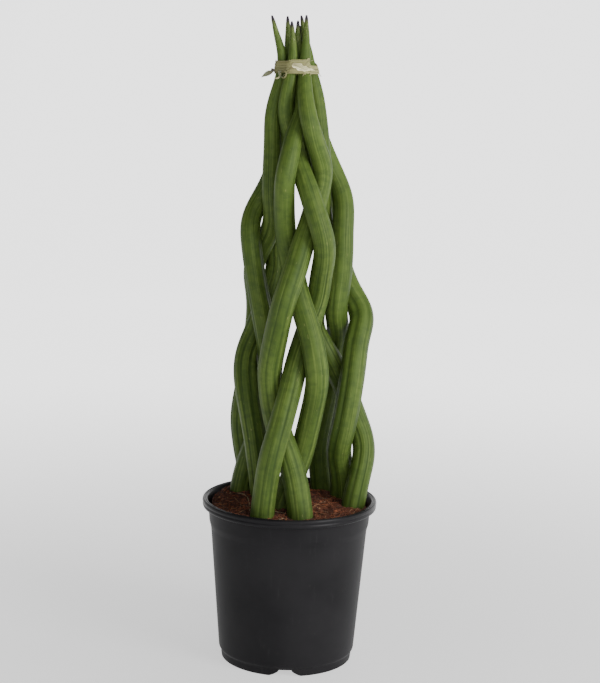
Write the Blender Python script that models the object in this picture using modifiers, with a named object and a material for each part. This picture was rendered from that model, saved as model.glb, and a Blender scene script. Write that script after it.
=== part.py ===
"""Braided cylindrical snake plant in its round nursery pot.

Nine round, tapering leaves stand in the soil and are plaited in threes: one plait
faces the front, one the back left and one the back right. A strip of raffia holds
them together just under their tips. The plant rests in the pot by its own weight,
so nothing is jointed.

The origin is the centre of the pot's foot, on the surface it stands on. +Z is up
and -Y is the front. Sizes are in millimetres until a mesh is made.
"""
import math

import bmesh
import bpy
import numpy as np

MM = 0.001
FIT_GAP = 0.3

# Pot
POT_HEIGHT = 160.0
RIM_RADIUS = 85.5
RIM_DEPTH = 8.6
COLLAR_RADIUS = 78.9
COLLAR_BOTTOM = 137.0
WALL_TOP_RADIUS = 76.6
WALL_TOP = 131.0
WALL_FOOT_RADIUS = 66.9
WALL_THICKNESS = 1.8
FOOT_RADIUS = 64.5
FOOT_WIDTH = 3.4
FOOT_HEIGHT = 8.0
FLOOR_THICKNESS = 2.0
POT_SEGMENTS = 48

# Drainage
NOTCH_COUNT = 4
NOTCH_WIDTH = 32.0
NOTCH_TOP_WIDTH = 12.0
DRAIN_HOLE_COUNT = 8
DRAIN_HOLE_RADIUS = 5.0
DRAIN_CIRCLE_RADIUS = 44.0

# Soil
SOIL_EDGE_HEIGHT = 152.5
SOIL_DOME = 4.5
SOIL_BANK = 3.0
SOIL_BANK_REACH = 16.0
SOIL_RINGS = (70.0, 61.0, 51.0, 40.0, 27.0, 13.0)
HOLE_ROUNDING = 0.2

# Leaves
LEAF_FOOT = 112.0
LEAF_SIDES = 16
LEAF_FLUTES = 8
FLUTE_DEPTH = 0.045
CHANNEL_DEPTH = 0.13
CHANNEL_WIDTH = 0.30
SPINE_LENGTH = 5.0
SPINE_RADIUS = 1.7
LEAF_RINGS = 36

# Plait
BRAID_POINTS = 130
BRAID_GAP = 1.0
SOIL_GAP = 2.4
BRAID_STEPS = 380
SETTLE_STEPS = 60
BEND_LENGTH = 12.0
STIFFNESS = (0.15, 0.25)
ROUTE_HOLD = 0.03
SOIL_WALL = 2.5
ROUND_OFF = 7.0
REACH = 6

# Raffia tie
TIE_HEIGHT = 576.0
TIE_CENTRE = (-3.5, 0.5)
TIE_PULL = 0.02
TIE_PULL_SHARE = (1.2, 1.6)
TIE_PULL_LENGTH = 10.0
TIE_BOTTOM = 570.4
TIE_TOP = 581.4
TIE_THICKNESS = 1.0
TIE_GAP = 0.45
TIE_SEGMENTS = 48
TIE_DIP = 3.4
STRIP_LEVELS = 4
LAP_ANGLES = (-205.0, -52.0)
LAP_BOTTOM = (571.0, 578.2)
LAP_TOP = (580.8, 584.6)
KNOT_ANGLE = -172.0
KNOT_HEIGHT = 572.6
KNOT_RADIUS = 2.3
TAIL_LENGTH = 13.0
TAIL_WIDTH = 4.6
TAIL_THICKNESS = 0.9
TAIL_DROP = 28.0

# Each leaf: name, radius at its foot, the side its channel faces in degrees from the
# right, and its route from the soil up as height, place to the right, place to the back.
LEAVES = (
    ("leaf_front_left", 11.0, 20.0, (
        (164, -25, -49), (206, -20, -52), (239, -11, -50), (274, -2, -41), (298, 4, -33),
        (316, 9, -27), (344, 18, -21), (365, 22, -22), (396, 25, -31), (418, 26, -38),
        (449, 16, -41), (485, 6, -32), (512, -6, -20), (535, -11, -17), (569, -9, -16),
        (590, -5, -12), (618, -10, -8),
    )),
    ("leaf_front_right", 11.5, 75.0, (
        (157, 11, -50), (194, 5, -46), (218, -4, -34), (233, -13, -25), (259, -19, -27),
        (287, -21, -30), (312, -19, -33), (355, -11, -39), (403, 6, -39), (433, 14, -22),
        (454, 19, -20), (474, 21, -24), (499, 16, -27), (523, 7, -27), (546, 5, -22),
        (569, 7, -16), (590, 8, -12), (624, 4, -6),
    )),
    ("leaf_front_middle", 11.0, 130.0, (
        (157, -9, -29), (201, 9, -22), (234, 16, -25), (261, 21, -31), (286, 23, -36),
        (314, 20, -40), (341, 13, -42), (364, 4, -35), (396, -4, -18), (425, -10, -23),
        (449, -12, -30), (472, -10, -36), (505, -4, -38), (528, 0, -22), (539, 3, -8),
        (553, 2, -4), (569, -1, -3), (590, -1, -2), (619, -3, -2),
    )),
    ("leaf_left_back", 10.2, 10.0, (
        (155, -39, 54), (184, -45, 44), (208, -49, 28), (228, -52, 18), (247, -50, 20),
        (273, -45, 29), (299, -41, 37), (334, -37, 43), (357, -37, 41), (377, -36, 36),
        (404, -33, 28), (435, -27, 14), (460, -25, 4), (494, -24, -4), (522, -24, -5),
        (548, -21, -4), (569, -17, -4), (588, -19, -4), (623, -29, -6),
    )),
    ("leaf_left_outer", 10.2, -20.0, (
        (160, -50, 36), (192, -43, 30), (212, -35, 34), (238, -27, 42), (271, -24, 38),
        (312, -26, 26), (348, -32, 14), (371, -37, 6), (401, -42, -4), (422, -41, -5),
        (450, -33, 5), (474, -23, 15), (503, -18, 18), (541, -16, 14), (569, -13, 9),
        (590, -12, 3), (623, -13, 2),
    )),
    ("leaf_left_front", 11.4, -60.0, (
        (174, -28, 9), (227, -36, -2), (262, -44, -6), (285, -47, -4), (303, -44, 6),
        (322, -36, 24), (342, -30, 38), (381, -24, 49), (419, -18, 42), (483, -13, 32),
        (536, -11, 23), (569, -8, 18), (592, -10, 13), (616, -12, 10),
    )),
    ("leaf_right_front", 10.6, 100.0, (
        (148, 61, -6), (172, 65, -6), (191, 67, -3), (211, 67, 3), (230, 65, 8),
        (258, 56, 13), (284, 44, 14), (310, 33, 16), (333, 28, 26), (351, 27, 35),
        (391, 28, 33), (436, 29, 25), (470, 26, 14), (499, 22, 4), (523, 20, -3),
        (549, 16, -4), (569, 10, -2), (592, 4, 3), (624, -1, 4),
    )),
    ("leaf_right_back", 11.4, 170.0, (
        (158, 33, 46), (180, 29, 46), (203, 27, 46), (225, 29, 47), (248, 33, 46),
        (272, 36, 42), (308, 40, 26), (330, 40, 14), (349, 42, 6), (380, 44, 1),
        (410, 45, -2), (434, 43, -1), (457, 39, 3),
        (478, 33, 9), (499, 24, 16), (518, 17, 20), (541, 11, 18), (569, 7, 12),
        (593, 5, 10), (618, 2, 9),
    )),
    ("leaf_right_outer", 12.1, -118.0, (
        (166, 53, 32), (202, 53, 13), (229, 52, -1), (259, 54, -11), (283, 58, -12),
        (307, 60, -7), (332, 58, 4), (350, 54, 15), (370, 48, 26), (387, 42, 33),
        (406, 39, 37), (435, 30, 40), (464, 23, 39), (508, 12, 32), (541, 5, 25),
        (569, 1, 17), (593, -1, 15), (615, -1, 12),
    )),
)

# Colours: base colour, roughness
LEAF_LOOK = ((0.050, 0.080, 0.014, 1.0), 0.42)
POT_LOOK = ((0.010, 0.010, 0.011, 1.0), 0.50)
SOIL_LOOK = ((0.095, 0.032, 0.014, 1.0), 0.95)
RAFFIA_LOOK = ((0.300, 0.280, 0.130, 1.0), 0.70)


def clear_scene():
    """Start from an empty scene."""
    for item in list(bpy.data.objects):
        bpy.data.objects.remove(item, do_unlink=True)


def new_collection(name):
    """A collection of that name, linked to the scene."""
    collection = bpy.data.collections.new(name)
    bpy.context.scene.collection.children.link(collection)
    return collection


def new_material(name, look):
    """A Principled material with a plain colour and roughness."""
    colour, roughness = look
    material = bpy.data.materials.new(name)
    material.use_nodes = True
    shader = material.node_tree.nodes["Principled BSDF"]
    shader.inputs["Base Color"].default_value = colour
    shader.inputs["Roughness"].default_value = roughness
    shader.inputs["Metallic"].default_value = 0.0
    material.diffuse_color = colour
    return material


def mesh_object(name, points, faces, collection):
    """An object from points in millimetres and their faces."""
    mesh = bpy.data.meshes.new(name)
    mesh.from_pydata((np.asarray(points) * MM).tolist(), [], faces)
    mesh.validate()
    thing = bpy.data.objects.new(name, mesh)
    collection.objects.link(thing)
    return thing


def turned_object(name, profile, collection, segments=POT_SEGMENTS):
    """A profile of radius and height, turned once round Z by a Screw modifier."""
    points = [(radius * MM, 0.0, height * MM) for radius, height in profile]
    edges = [(i, i + 1) for i in range(len(points) - 1)]
    mesh = bpy.data.meshes.new(name)
    mesh.from_pydata(points, edges, [])
    thing = bpy.data.objects.new(name, mesh)
    collection.objects.link(thing)
    screw = thing.modifiers.new("turn", "SCREW")
    screw.steps = segments
    screw.render_steps = segments
    screw.use_merge_vertices = True
    screw.merge_threshold = 0.00001
    return thing


def apply_modifiers(thing):
    """Keep the mesh that the modifiers give, and drop the modifiers."""
    graph = bpy.context.evaluated_depsgraph_get()
    mesh = bpy.data.meshes.new_from_object(thing.evaluated_get(graph))
    old = thing.data
    thing.modifiers.clear()
    thing.data = mesh
    bpy.data.meshes.remove(old)


def curve_to_mesh(thing, collection):
    """Turn a curve object into a mesh object with its caps welded on."""
    graph = bpy.context.evaluated_depsgraph_get()
    mesh = bpy.data.meshes.new_from_object(thing.evaluated_get(graph))
    bm = bmesh.new()
    bm.from_mesh(mesh)
    bmesh.ops.remove_doubles(bm, verts=bm.verts, dist=0.000001)
    bmesh.ops.recalc_face_normals(bm, faces=bm.faces)
    bm.to_mesh(mesh)
    bm.free()
    solid = bpy.data.objects.new(thing.name + "_solid", mesh)
    solid.matrix_world = thing.matrix_world
    collection.objects.link(solid)
    bpy.data.objects.remove(thing)
    return solid


def add_cut(thing, cutter):
    """Cut one object by another."""
    boolean = thing.modifiers.new("cut", "BOOLEAN")
    boolean.operation = "DIFFERENCE"
    boolean.object = cutter
    boolean.solver = "EXACT"


def mark_as_cutter(thing):
    """Show a cutter as wire and leave it out of the render."""
    thing.hide_render = True
    thing.display_type = "WIRE"


def finish(thing, material, smooth_angle=40.0):
    """Give an object its material and shade it smooth up to an angle."""
    thing.data.materials.clear()
    thing.data.materials.append(material)
    thing.data.shade_smooth()
    thing.data.set_sharp_from_angle(angle=math.radians(smooth_angle))


# The plait

def smoothing(heights, length):
    """Weights that average points along a leaf over a bell of that length."""
    apart = heights[:, None] - heights[None, :]
    weights = np.exp(-0.5 * (apart / length) ** 2)
    return weights / weights.sum(axis=1, keepdims=True)


def leaf_radii(share, foot_radius):
    """Radius along a leaf: it thins slowly, then runs out to the dry spine."""
    body = (1.0 - 0.18 * share) * (1.0 - share ** 7)
    return foot_radius * body + SPINE_RADIUS * (0.55 + 0.45 * share ** 6)


def first_route(route, heights):
    """A leaf's centre line through its knots, before it bends round the others."""
    knots = np.array(route, dtype=float)
    foot = knots[0] + (knots[0] - knots[1]) * 0.5
    foot[0] = LEAF_FOOT
    knots = np.vstack([foot, knots])
    right = np.interp(heights, knots[:, 0], knots[:, 1])
    back = np.interp(heights, knots[:, 0], knots[:, 2])
    places = smoothing(heights, ROUND_OFF) @ np.stack([right, back], axis=1)
    return np.column_stack([places, heights])


def closest_gaps(centres, radii, pairs):
    """For each point of a pair's first leaf, the second leaf's point least clear of it."""
    first, second = pairs
    count = centres.shape[1]
    buried = centres[0, :, 2] < POT_HEIGHT
    wanted = np.where(buried, SOIL_GAP, BRAID_GAP)
    gap = np.full((len(first), count), np.inf)
    nearest = np.zeros((len(first), count), dtype=int)
    for shift in range(-REACH, REACH + 1):
        other = np.clip(np.arange(count) + shift, 0, count - 1)
        apart = np.linalg.norm(centres[first] - centres[second][:, other], axis=2)
        clear = apart - radii[first] - radii[second][:, other] - wanted
        closer = clear < gap
        gap = np.where(closer, clear, gap)
        nearest = np.where(closer, other[None, :], nearest)
    return gap, nearest


def wall_limit(heights, radii):
    """How far from the pot's middle a leaf's centre may stand at each height."""
    levels = np.array([FOOT_HEIGHT, WALL_TOP, COLLAR_BOTTOM, POT_HEIGHT])
    limits = np.array([inner_wall_radius(level) for level in levels])
    limit = np.interp(heights, levels, limits) - SOIL_WALL - radii
    return np.where(heights < POT_HEIGHT, limit, np.inf)


def straighten(places):
    """How far each point of a leaf is from the middle of its two neighbours."""
    change = np.zeros_like(places)
    change[:, 1:-1] = places[:, :-2] - 2.0 * places[:, 1:-1] + places[:, 2:]
    return change


def plait_leaves():
    """Centre lines and radii of all leaves, bent until none presses into another.

    Each step finds where two leaves would overlap, moves both apart by half of that,
    more to the back and front than sideways, and spreads the move along the leaf so
    that it bends smoothly. A leaf that would reach the pot's wall moves inwards. Until
    the last steps each leaf also straightens a little, is held near its route as seen
    from the front, and near the tie all leaves are drawn together.
    """
    tips = np.array([route[-1][0] for _, _, _, route in LEAVES]) - SPINE_LENGTH
    feet = np.array([radius for _, radius, _, _ in LEAVES])
    share = np.linspace(0.0, 1.0, BRAID_POINTS)
    heights = LEAF_FOOT + share[None, :] * (tips - LEAF_FOOT)[:, None]
    centres = np.stack([first_route(leaf[3], h) for leaf, h in zip(LEAVES, heights)])
    radii = leaf_radii(share[None, :], feet[:, None])
    drawn = centres[:, :, 0].copy()
    limit = wall_limit(heights, radii)
    pairs = np.triu_indices(len(LEAVES), 1)
    spread = smoothing(heights.mean(axis=0), BEND_LENGTH)
    tie = np.exp(-0.5 * ((heights - TIE_HEIGHT) / TIE_PULL_LENGTH) ** 2)
    pull = TIE_PULL * tie[:, :, None] * np.array(TIE_PULL_SHARE)
    for step in range(BRAID_STEPS):
        places = centres[:, :, :2]
        gap, nearest = closest_gaps(centres, radii, pairs)
        between = np.take_along_axis(centres[pairs[1]], nearest[:, :, None], axis=1)
        away = (centres[pairs[0]] - between)[:, :, :2] * np.array([0.4, 1.0])
        away /= np.linalg.norm(away, axis=2, keepdims=True) + 1e-9
        push = 0.5 * np.clip(-gap, 0.0, None)[:, :, None] * away
        move = np.zeros_like(places)
        np.add.at(move, pairs[0], push)
        np.add.at(move, (pairs[1][:, None], nearest), -push)
        out = np.linalg.norm(places, axis=2)
        move -= 0.5 * (np.clip(out - limit, 0.0, None) / out)[:, :, None] * places
        if step < BRAID_STEPS - SETTLE_STEPS:
            move -= pull * (places - np.array(TIE_CENTRE))
        move = spread @ move
        if step < BRAID_STEPS - SETTLE_STEPS:
            move += np.array(STIFFNESS) * straighten(places)
            move[:, :, 0] += ROUTE_HOLD * (drawn - places[:, :, 0])
        centres[:, :, :2] += move
    return centres, radii


# Leaves

def leaf_section(angles, channel_angle, share):
    """Outline of a leaf as a share of its radius: shallow flutes and one channel."""
    flutes = 0.5 - 0.5 * np.cos(LEAF_FLUTES * angles)
    turn = np.angle(np.exp(1j * (angles - channel_angle)))
    channel = np.exp(-(turn / CHANNEL_WIDTH) ** 2)
    fade = 1.0 - share ** 3
    return 1.0 - (FLUTE_DEPTH * flutes + CHANNEL_DEPTH * channel) * fade


def tube_rings(centres, radii, outlines, angles):
    """Rings of points square to a centre line, one outline for each."""
    ahead = np.gradient(centres, axis=0)
    ahead /= np.linalg.norm(ahead, axis=1, keepdims=True)
    right = np.array([1.0, 0.0, 0.0]) - ahead[:, :1] * ahead
    right /= np.linalg.norm(right, axis=1, keepdims=True)
    back = np.cross(ahead, right)
    around = (np.cos(angles)[None, :, None] * right[:, None]
              + np.sin(angles)[None, :, None] * back[:, None])
    return centres[:, None] + around * (outlines * radii[:, None])[:, :, None]


def tube_faces(rings, sides):
    """Quads between neighbouring rings, with a flat cap at each end."""
    faces = [tuple(reversed(range(sides)))]
    for low in range(0, (rings - 1) * sides, sides):
        for i in range(sides):
            j = (i + 1) % sides
            faces.append((low + i, low + j, low + sides + j, low + sides + i))
    faces.append(tuple(range((rings - 1) * sides, rings * sides)))
    return faces


def make_leaf(name, channel, centre, radius, collection):
    """One leaf with its flutes, its channel and the dry spine at its tip."""
    share = np.linspace(0.0, 1.0, len(centre))
    low = np.linspace(0.0, 0.93, LEAF_RINGS - 4)
    stations = np.concatenate([low, [0.955, 0.975, 0.99, 1.0]])
    centres = np.stack([np.interp(stations, share, centre[:, i]) for i in range(3)], axis=1)
    radii = np.interp(stations, share, radius)
    top = centres[-1] + (centres[-1] - centres[-2]) * SPINE_LENGTH / (centres[-1, 2] - centres[-2, 2])
    centres = np.vstack([centres, top])
    radii = np.append(radii, 0.45 * SPINE_RADIUS)
    stations = np.append(stations, 1.0)
    angles = np.arange(LEAF_SIDES) * 2.0 * math.pi / LEAF_SIDES
    outlines = leaf_section(angles[None, :], math.radians(channel), stations[:, None])
    rings = tube_rings(centres, radii, outlines, angles)
    faces = tube_faces(len(centres), LEAF_SIDES)
    leaf = mesh_object(name, rings.reshape(-1, 3), faces, collection)
    finish(leaf, new_material(name, LEAF_LOOK), 75.0)
    return leaf


# Pot

def inner_wall_radius(height):
    """Radius of the inside of the pot's wall at a height."""
    heights = (FOOT_HEIGHT + FLOOR_THICKNESS, WALL_TOP, COLLAR_BOTTOM, POT_HEIGHT - RIM_DEPTH)
    radii = (WALL_FOOT_RADIUS, WALL_TOP_RADIUS, COLLAR_RADIUS - 0.6, COLLAR_RADIUS)
    return float(np.interp(height, heights, radii)) - WALL_THICKNESS


def pot_profile():
    """The pot's section: up the inside, over the rolled rim and down the outside."""
    floor = FOOT_HEIGHT + FLOOR_THICKNESS
    inside = [
        (0.0, floor),
        (inner_wall_radius(floor) - 1.5, floor),
        (inner_wall_radius(floor), floor + 2.5),
        (inner_wall_radius(WALL_TOP), WALL_TOP),
        (inner_wall_radius(COLLAR_BOTTOM), COLLAR_BOTTOM),
        (COLLAR_RADIUS - WALL_THICKNESS, POT_HEIGHT - RIM_DEPTH),
    ]
    rim = [
        (RIM_RADIUS - 6.3, POT_HEIGHT - 4.0),
        (RIM_RADIUS - 4.9, POT_HEIGHT - 0.9),
        (RIM_RADIUS - 3.7, POT_HEIGHT - 0.5),
        (RIM_RADIUS - 2.9, POT_HEIGHT - 0.9),
        (RIM_RADIUS - 1.9, POT_HEIGHT),
        (RIM_RADIUS - 0.6, POT_HEIGHT - 0.9),
        (RIM_RADIUS, POT_HEIGHT - 2.8),
        (RIM_RADIUS - 0.8, POT_HEIGHT - 4.4),
        (RIM_RADIUS - 0.3, POT_HEIGHT - 5.9),
        (RIM_RADIUS - 0.8, POT_HEIGHT - 7.7),
        (RIM_RADIUS - 2.4, POT_HEIGHT - RIM_DEPTH),
    ]
    outside = [
        (COLLAR_RADIUS + 0.5, POT_HEIGHT - RIM_DEPTH - 0.6),
        (COLLAR_RADIUS - 0.6, COLLAR_BOTTOM),
        (WALL_TOP_RADIUS, WALL_TOP),
        (WALL_FOOT_RADIUS, floor + 0.6),
        (WALL_FOOT_RADIUS - 0.6, floor - 0.8),
        (FOOT_RADIUS + 0.2, FOOT_HEIGHT - 0.6),
        (FOOT_RADIUS, 0.6),
        (FOOT_RADIUS - 0.6, 0.0),
        (FOOT_RADIUS - FOOT_WIDTH + 0.4, 0.0),
        (FOOT_RADIUS - FOOT_WIDTH, 0.5),
        (FOOT_RADIUS - FOOT_WIDTH - 0.3, FOOT_HEIGHT),
        (0.0, FOOT_HEIGHT),
    ]
    return inside + rim + outside


def notch_cutter(index, collection):
    """A tapered block that cuts one drainage notch through the foot ring."""
    half, top_half = NOTCH_WIDTH / 2.0, NOTCH_TOP_WIDTH / 2.0
    near, far = FOOT_RADIUS - 9.0, FOOT_RADIUS + 6.0
    top = FOOT_HEIGHT - 1.4
    outline = [(-half - 1.0, -1.0), (half + 1.0, -1.0), (top_half, top), (-top_half, top)]
    points = [(x, -near, z) for x, z in outline] + [(x, -far, z) for x, z in outline]
    faces = [(0, 1, 2, 3), (7, 6, 5, 4)]
    faces += [(j, i, i + 4, j + 4) for i, j in ((0, 1), (1, 2), (2, 3), (3, 0))]
    cutter = mesh_object("cut_notch_%d" % (index + 1), points, faces, collection)
    cutter.rotation_euler.z = 2.0 * math.pi * index / NOTCH_COUNT
    mark_as_cutter(cutter)
    return cutter


def drain_hole_cutter(index, collection):
    """A round cutter through the pot's floor."""
    angle = 2.0 * math.pi * (index + 0.5) / DRAIN_HOLE_COUNT
    bm = bmesh.new()
    bmesh.ops.create_cone(
        bm, cap_ends=True, segments=12, radius1=DRAIN_HOLE_RADIUS * MM,
        radius2=DRAIN_HOLE_RADIUS * MM, depth=4.0 * FLOOR_THICKNESS * MM)
    mesh = bpy.data.meshes.new("cut_drain_%d" % (index + 1))
    bm.to_mesh(mesh)
    bm.free()
    cutter = bpy.data.objects.new(mesh.name, mesh)
    collection.objects.link(cutter)
    height = FOOT_HEIGHT + FLOOR_THICKNESS / 2.0
    place = (DRAIN_CIRCLE_RADIUS * math.cos(angle), DRAIN_CIRCLE_RADIUS * math.sin(angle), height)
    cutter.location = [value * MM for value in place]
    mark_as_cutter(cutter)
    return cutter


def make_pot(collection, cutters):
    """The turned pot with its drainage notches and holes."""
    pot = turned_object("pot", pot_profile(), collection)
    for index in range(NOTCH_COUNT):
        add_cut(pot, notch_cutter(index, cutters))
    for index in range(DRAIN_HOLE_COUNT):
        add_cut(pot, drain_hole_cutter(index, cutters))
    apply_modifiers(pot)
    finish(pot, new_material("pot", POT_LOOK))
    return pot


# Soil

def soil_height(right, back, feet):
    """Height of the soil: a low dome, higher at the back left, banked up at each leaf."""
    out = (right ** 2 + back ** 2) / COLLAR_RADIUS ** 2
    height = SOIL_EDGE_HEIGHT + SOIL_DOME * (1.0 - out) + 0.035 * back - 0.025 * right
    height += 0.7 * math.sin(right / 7.0 + 1.0) * math.sin(back / 8.0)
    nearest = min(math.hypot(right - foot[0], back - foot[1]) for foot in feet)
    return height + SOIL_BANK * math.exp(-(nearest / SOIL_BANK_REACH) ** 2)


def soil_profile():
    """The soil's section: in along its top, down the pot's wall and across its floor."""
    floor = FOOT_HEIGHT + FLOOR_THICKNESS + FIT_GAP
    edge = COLLAR_RADIUS - WALL_THICKNESS - FIT_GAP - 0.6
    top = [(0.0, SOIL_EDGE_HEIGHT)]
    top += [(radius, SOIL_EDGE_HEIGHT) for radius in reversed(SOIL_RINGS)]
    side = [
        (edge, SOIL_EDGE_HEIGHT - 2.0),
        (inner_wall_radius(COLLAR_BOTTOM) - FIT_GAP, COLLAR_BOTTOM),
        (inner_wall_radius(WALL_TOP) - FIT_GAP, WALL_TOP),
        (inner_wall_radius(floor) - FIT_GAP - 0.1, floor + 2.8),
        (inner_wall_radius(floor) - 2.1, floor),
        (0.0, floor),
    ]
    return top + side


def hole_cutter(name, centre, radius, collection):
    """A plain round hole for one leaf, a little wider and deeper than the leaf."""
    points = centre[centre[:, 2] < POT_HEIGHT + 25.0][::4].copy()
    widths = radius[:len(points) * 4:4] + FIT_GAP + HOLE_ROUNDING
    points[0] += (points[0] - points[1]) * FIT_GAP / np.linalg.norm(points[0] - points[1])
    curve = bpy.data.curves.new("cut_" + name, "CURVE")
    curve.dimensions = "3D"
    curve.bevel_depth = MM
    curve.bevel_resolution = 6
    curve.use_fill_caps = True
    spline = curve.splines.new("POLY")
    spline.points.add(len(points) - 1)
    for knot, place, width in zip(spline.points, points, widths):
        knot.co = (place[0] * MM, place[1] * MM, place[2] * MM, 1.0)
        knot.radius = width
    tube = bpy.data.objects.new("cut_" + name, curve)
    collection.objects.link(tube)
    cutter = curve_to_mesh(tube, collection)
    mark_as_cutter(cutter)
    return cutter


def make_soil(centres, radii, collection, cutters):
    """The soil filling the pot, with a plain hole for each leaf."""
    soil = turned_object("soil", soil_profile(), collection)
    apply_modifiers(soil)
    at_soil = np.argmin(np.abs(centres[0, :, 2] - SOIL_EDGE_HEIGHT))
    feet = centres[:, at_soil, :2]
    for point in soil.data.vertices:
        if point.co.z > (SOIL_EDGE_HEIGHT - 3.0) * MM:
            right, back = point.co.x / MM, point.co.y / MM
            point.co.z += (soil_height(right, back, feet) - SOIL_EDGE_HEIGHT) * MM
    for leaf, centre, radius in zip(LEAVES, centres, radii):
        add_cut(soil, hole_cutter(leaf[0], centre, radius, cutters))
    apply_modifiers(soil)
    finish(soil, new_material("soil", SOIL_LOOK), 30.0)
    return soil


# Raffia tie

def bundle_point(centres, radii, angle, height, clear):
    """A point of the line drawn tight round all leaves, seen from the bundle's middle.

    A leaf is taken as a row of balls, so a leaning leaf is as wide here as it is there.
    """
    out = np.array([math.cos(angle), math.sin(angle)])
    levels = height + np.linspace(-6.0, 6.0, 13)
    best = (-np.inf, None)
    for centre, radius in zip(centres, radii):
        ball = np.interp(levels, centre[:, 2], radius)
        reach = np.sqrt(np.clip(ball ** 2 - (levels - height) ** 2, 0.0, None)) + clear
        right = np.interp(levels, centre[:, 2], centre[:, 0]) + reach * out[0]
        back = np.interp(levels, centre[:, 2], centre[:, 1]) + reach * out[1]
        support = right * out[0] + back * out[1]
        widest = support.argmax()
        if support[widest] > best[0]:
            best = (support[widest], np.array([right[widest], back[widest]]))
    return best[1]


def strip(name, leaves, angles, bottoms, tops, clear, collection):
    """A flat strip laid round the leaves: an open surface thickened by Solidify."""
    centres, radii = leaves
    closed = abs(angles[-1] - angles[0]) > 2.0 * math.pi - 0.001
    if closed:
        angles, bottoms, tops = angles[:-1], bottoms[:-1], tops[:-1]
    points = []
    for level in np.linspace(0.0, 1.0, STRIP_LEVELS):
        for angle, bottom, top in zip(angles, bottoms, tops):
            height = bottom + (top - bottom) * level
            points.append((*bundle_point(centres, radii, angle, height, clear), height))
    count = len(angles)
    faces = []
    for low in range(0, (STRIP_LEVELS - 1) * count, count):
        for i in range(count if closed else count - 1):
            j = (i + 1) % count
            faces.append((low + i, low + j, low + count + j, low + count + i))
    band = mesh_object(name, points, faces, collection)
    thicken = band.modifiers.new("thickness", "SOLIDIFY")
    thicken.thickness = TIE_THICKNESS * MM
    thicken.offset = 1.0
    thicken.use_even_offset = True
    apply_modifiers(band)
    return band


def tie_knot(place, collection):
    """The small hard knot, a ball squashed against the bundle."""
    bm = bmesh.new()
    bmesh.ops.create_uvsphere(bm, u_segments=12, v_segments=7, radius=KNOT_RADIUS * MM)
    bmesh.ops.scale(bm, vec=(0.8, 1.0, 1.25), verts=bm.verts)
    mesh = bpy.data.meshes.new("knot")
    bm.to_mesh(mesh)
    bm.free()
    knot = bpy.data.objects.new("knot", mesh)
    knot.location = [value * MM for value in place]
    collection.objects.link(knot)
    return knot


def tie_tail(place, collection):
    """The loose end: a flat pointed blade that hangs out and down from the knot."""
    half = TAIL_WIDTH / 2.0
    outline = [
        (0.0, -0.3 * half), (0.28, -0.9 * half), (0.6, -half), (0.85, -0.5 * half),
        (1.0, -0.1 * half), (1.0, 0.1 * half), (0.8, 0.75 * half), (0.5, 0.95 * half),
        (0.2, 0.7 * half), (0.0, 0.3 * half),
    ]
    curve = bpy.data.curves.new("tail", "CURVE")
    curve.dimensions = "2D"
    curve.fill_mode = "BOTH"
    curve.extrude = TAIL_THICKNESS / 2.0 * MM
    spline = curve.splines.new("POLY")
    spline.use_cyclic_u = True
    spline.points.add(len(outline) - 1)
    for knot, (along, across) in zip(spline.points, outline):
        knot.co = (along * TAIL_LENGTH * MM, across * MM, 0.0, 1.0)
    tail = bpy.data.objects.new("tail", curve)
    tail.location = [value * MM for value in place]
    tail.rotation_euler = (math.radians(90.0), math.radians(TAIL_DROP), math.radians(180.0))
    collection.objects.link(tail)
    bpy.context.view_layer.update()
    return curve_to_mesh(tail, collection)


def make_tie(centres, radii, collection, cutters):
    """The raffia: a band round the leaves, a lapped end, a knot and its tail, all fused."""
    leaves = (centres, radii)
    turn = np.linspace(0.0, 2.0 * math.pi, TIE_SEGMENTS + 1)
    sway = 0.5 * np.sin(turn + 0.6)
    dip = TIE_DIP * np.exp(2.5 * (np.cos(turn + math.radians(25.0)) - 1.0))
    tie = strip("raffia_tie", leaves, turn, TIE_BOTTOM + sway, TIE_TOP + sway - dip, TIE_GAP,
                collection)
    joined = bpy.data.collections.new("fused_to_tie")
    cutters.children.link(joined)
    lap = np.radians(np.linspace(LAP_ANGLES[0], LAP_ANGLES[1], 22))
    share = np.linspace(0.0, 1.0, len(lap)) ** 2
    low = LAP_BOTTOM[0] + (LAP_BOTTOM[1] - LAP_BOTTOM[0]) * share
    high = LAP_TOP[0] + (LAP_TOP[1] - LAP_TOP[0]) * share
    strip("lap", leaves, lap, low, high, TIE_GAP + TIE_THICKNESS - 0.3, joined)
    angle = math.radians(KNOT_ANGLE)
    spot = bundle_point(centres, radii, angle, KNOT_HEIGHT, TIE_GAP + TIE_THICKNESS + 1.0)
    tie_knot((*spot, KNOT_HEIGHT), joined)
    tie_tail((*spot, KNOT_HEIGHT - 0.5), joined)
    for piece in joined.objects:
        mark_as_cutter(piece)
    boolean = tie.modifiers.new("fuse", "BOOLEAN")
    boolean.operation = "UNION"
    boolean.operand_type = "COLLECTION"
    boolean.collection = joined
    boolean.solver = "EXACT"
    apply_modifiers(tie)
    finish(tie, new_material("raffia_tie", RAFFIA_LOOK), 35.0)
    return tie


def build():
    """Make every piece of the plant and its pot."""
    clear_scene()
    plant = new_collection("cylindrical_snake_plant")
    cutters = new_collection("cutters")
    centres, radii = plait_leaves()
    make_pot(plant, cutters)
    make_soil(centres, radii, plant, cutters)
    for leaf, centre, radius in zip(LEAVES, centres, radii):
        make_leaf(leaf[0], leaf[2], centre, radius, plant)
    make_tie(centres, radii, plant, cutters)


build()
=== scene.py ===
"""The braided cylindrical snake plant in its nursery pot, dressed for the studio.

The origin is the centre of the pot's foot, +Z is up and -Y is the front. Sizes are in
millimetres until a mesh is made.
"""
import math

import bmesh
import bpy
import numpy as np
from mathutils import Matrix, Vector


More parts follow.
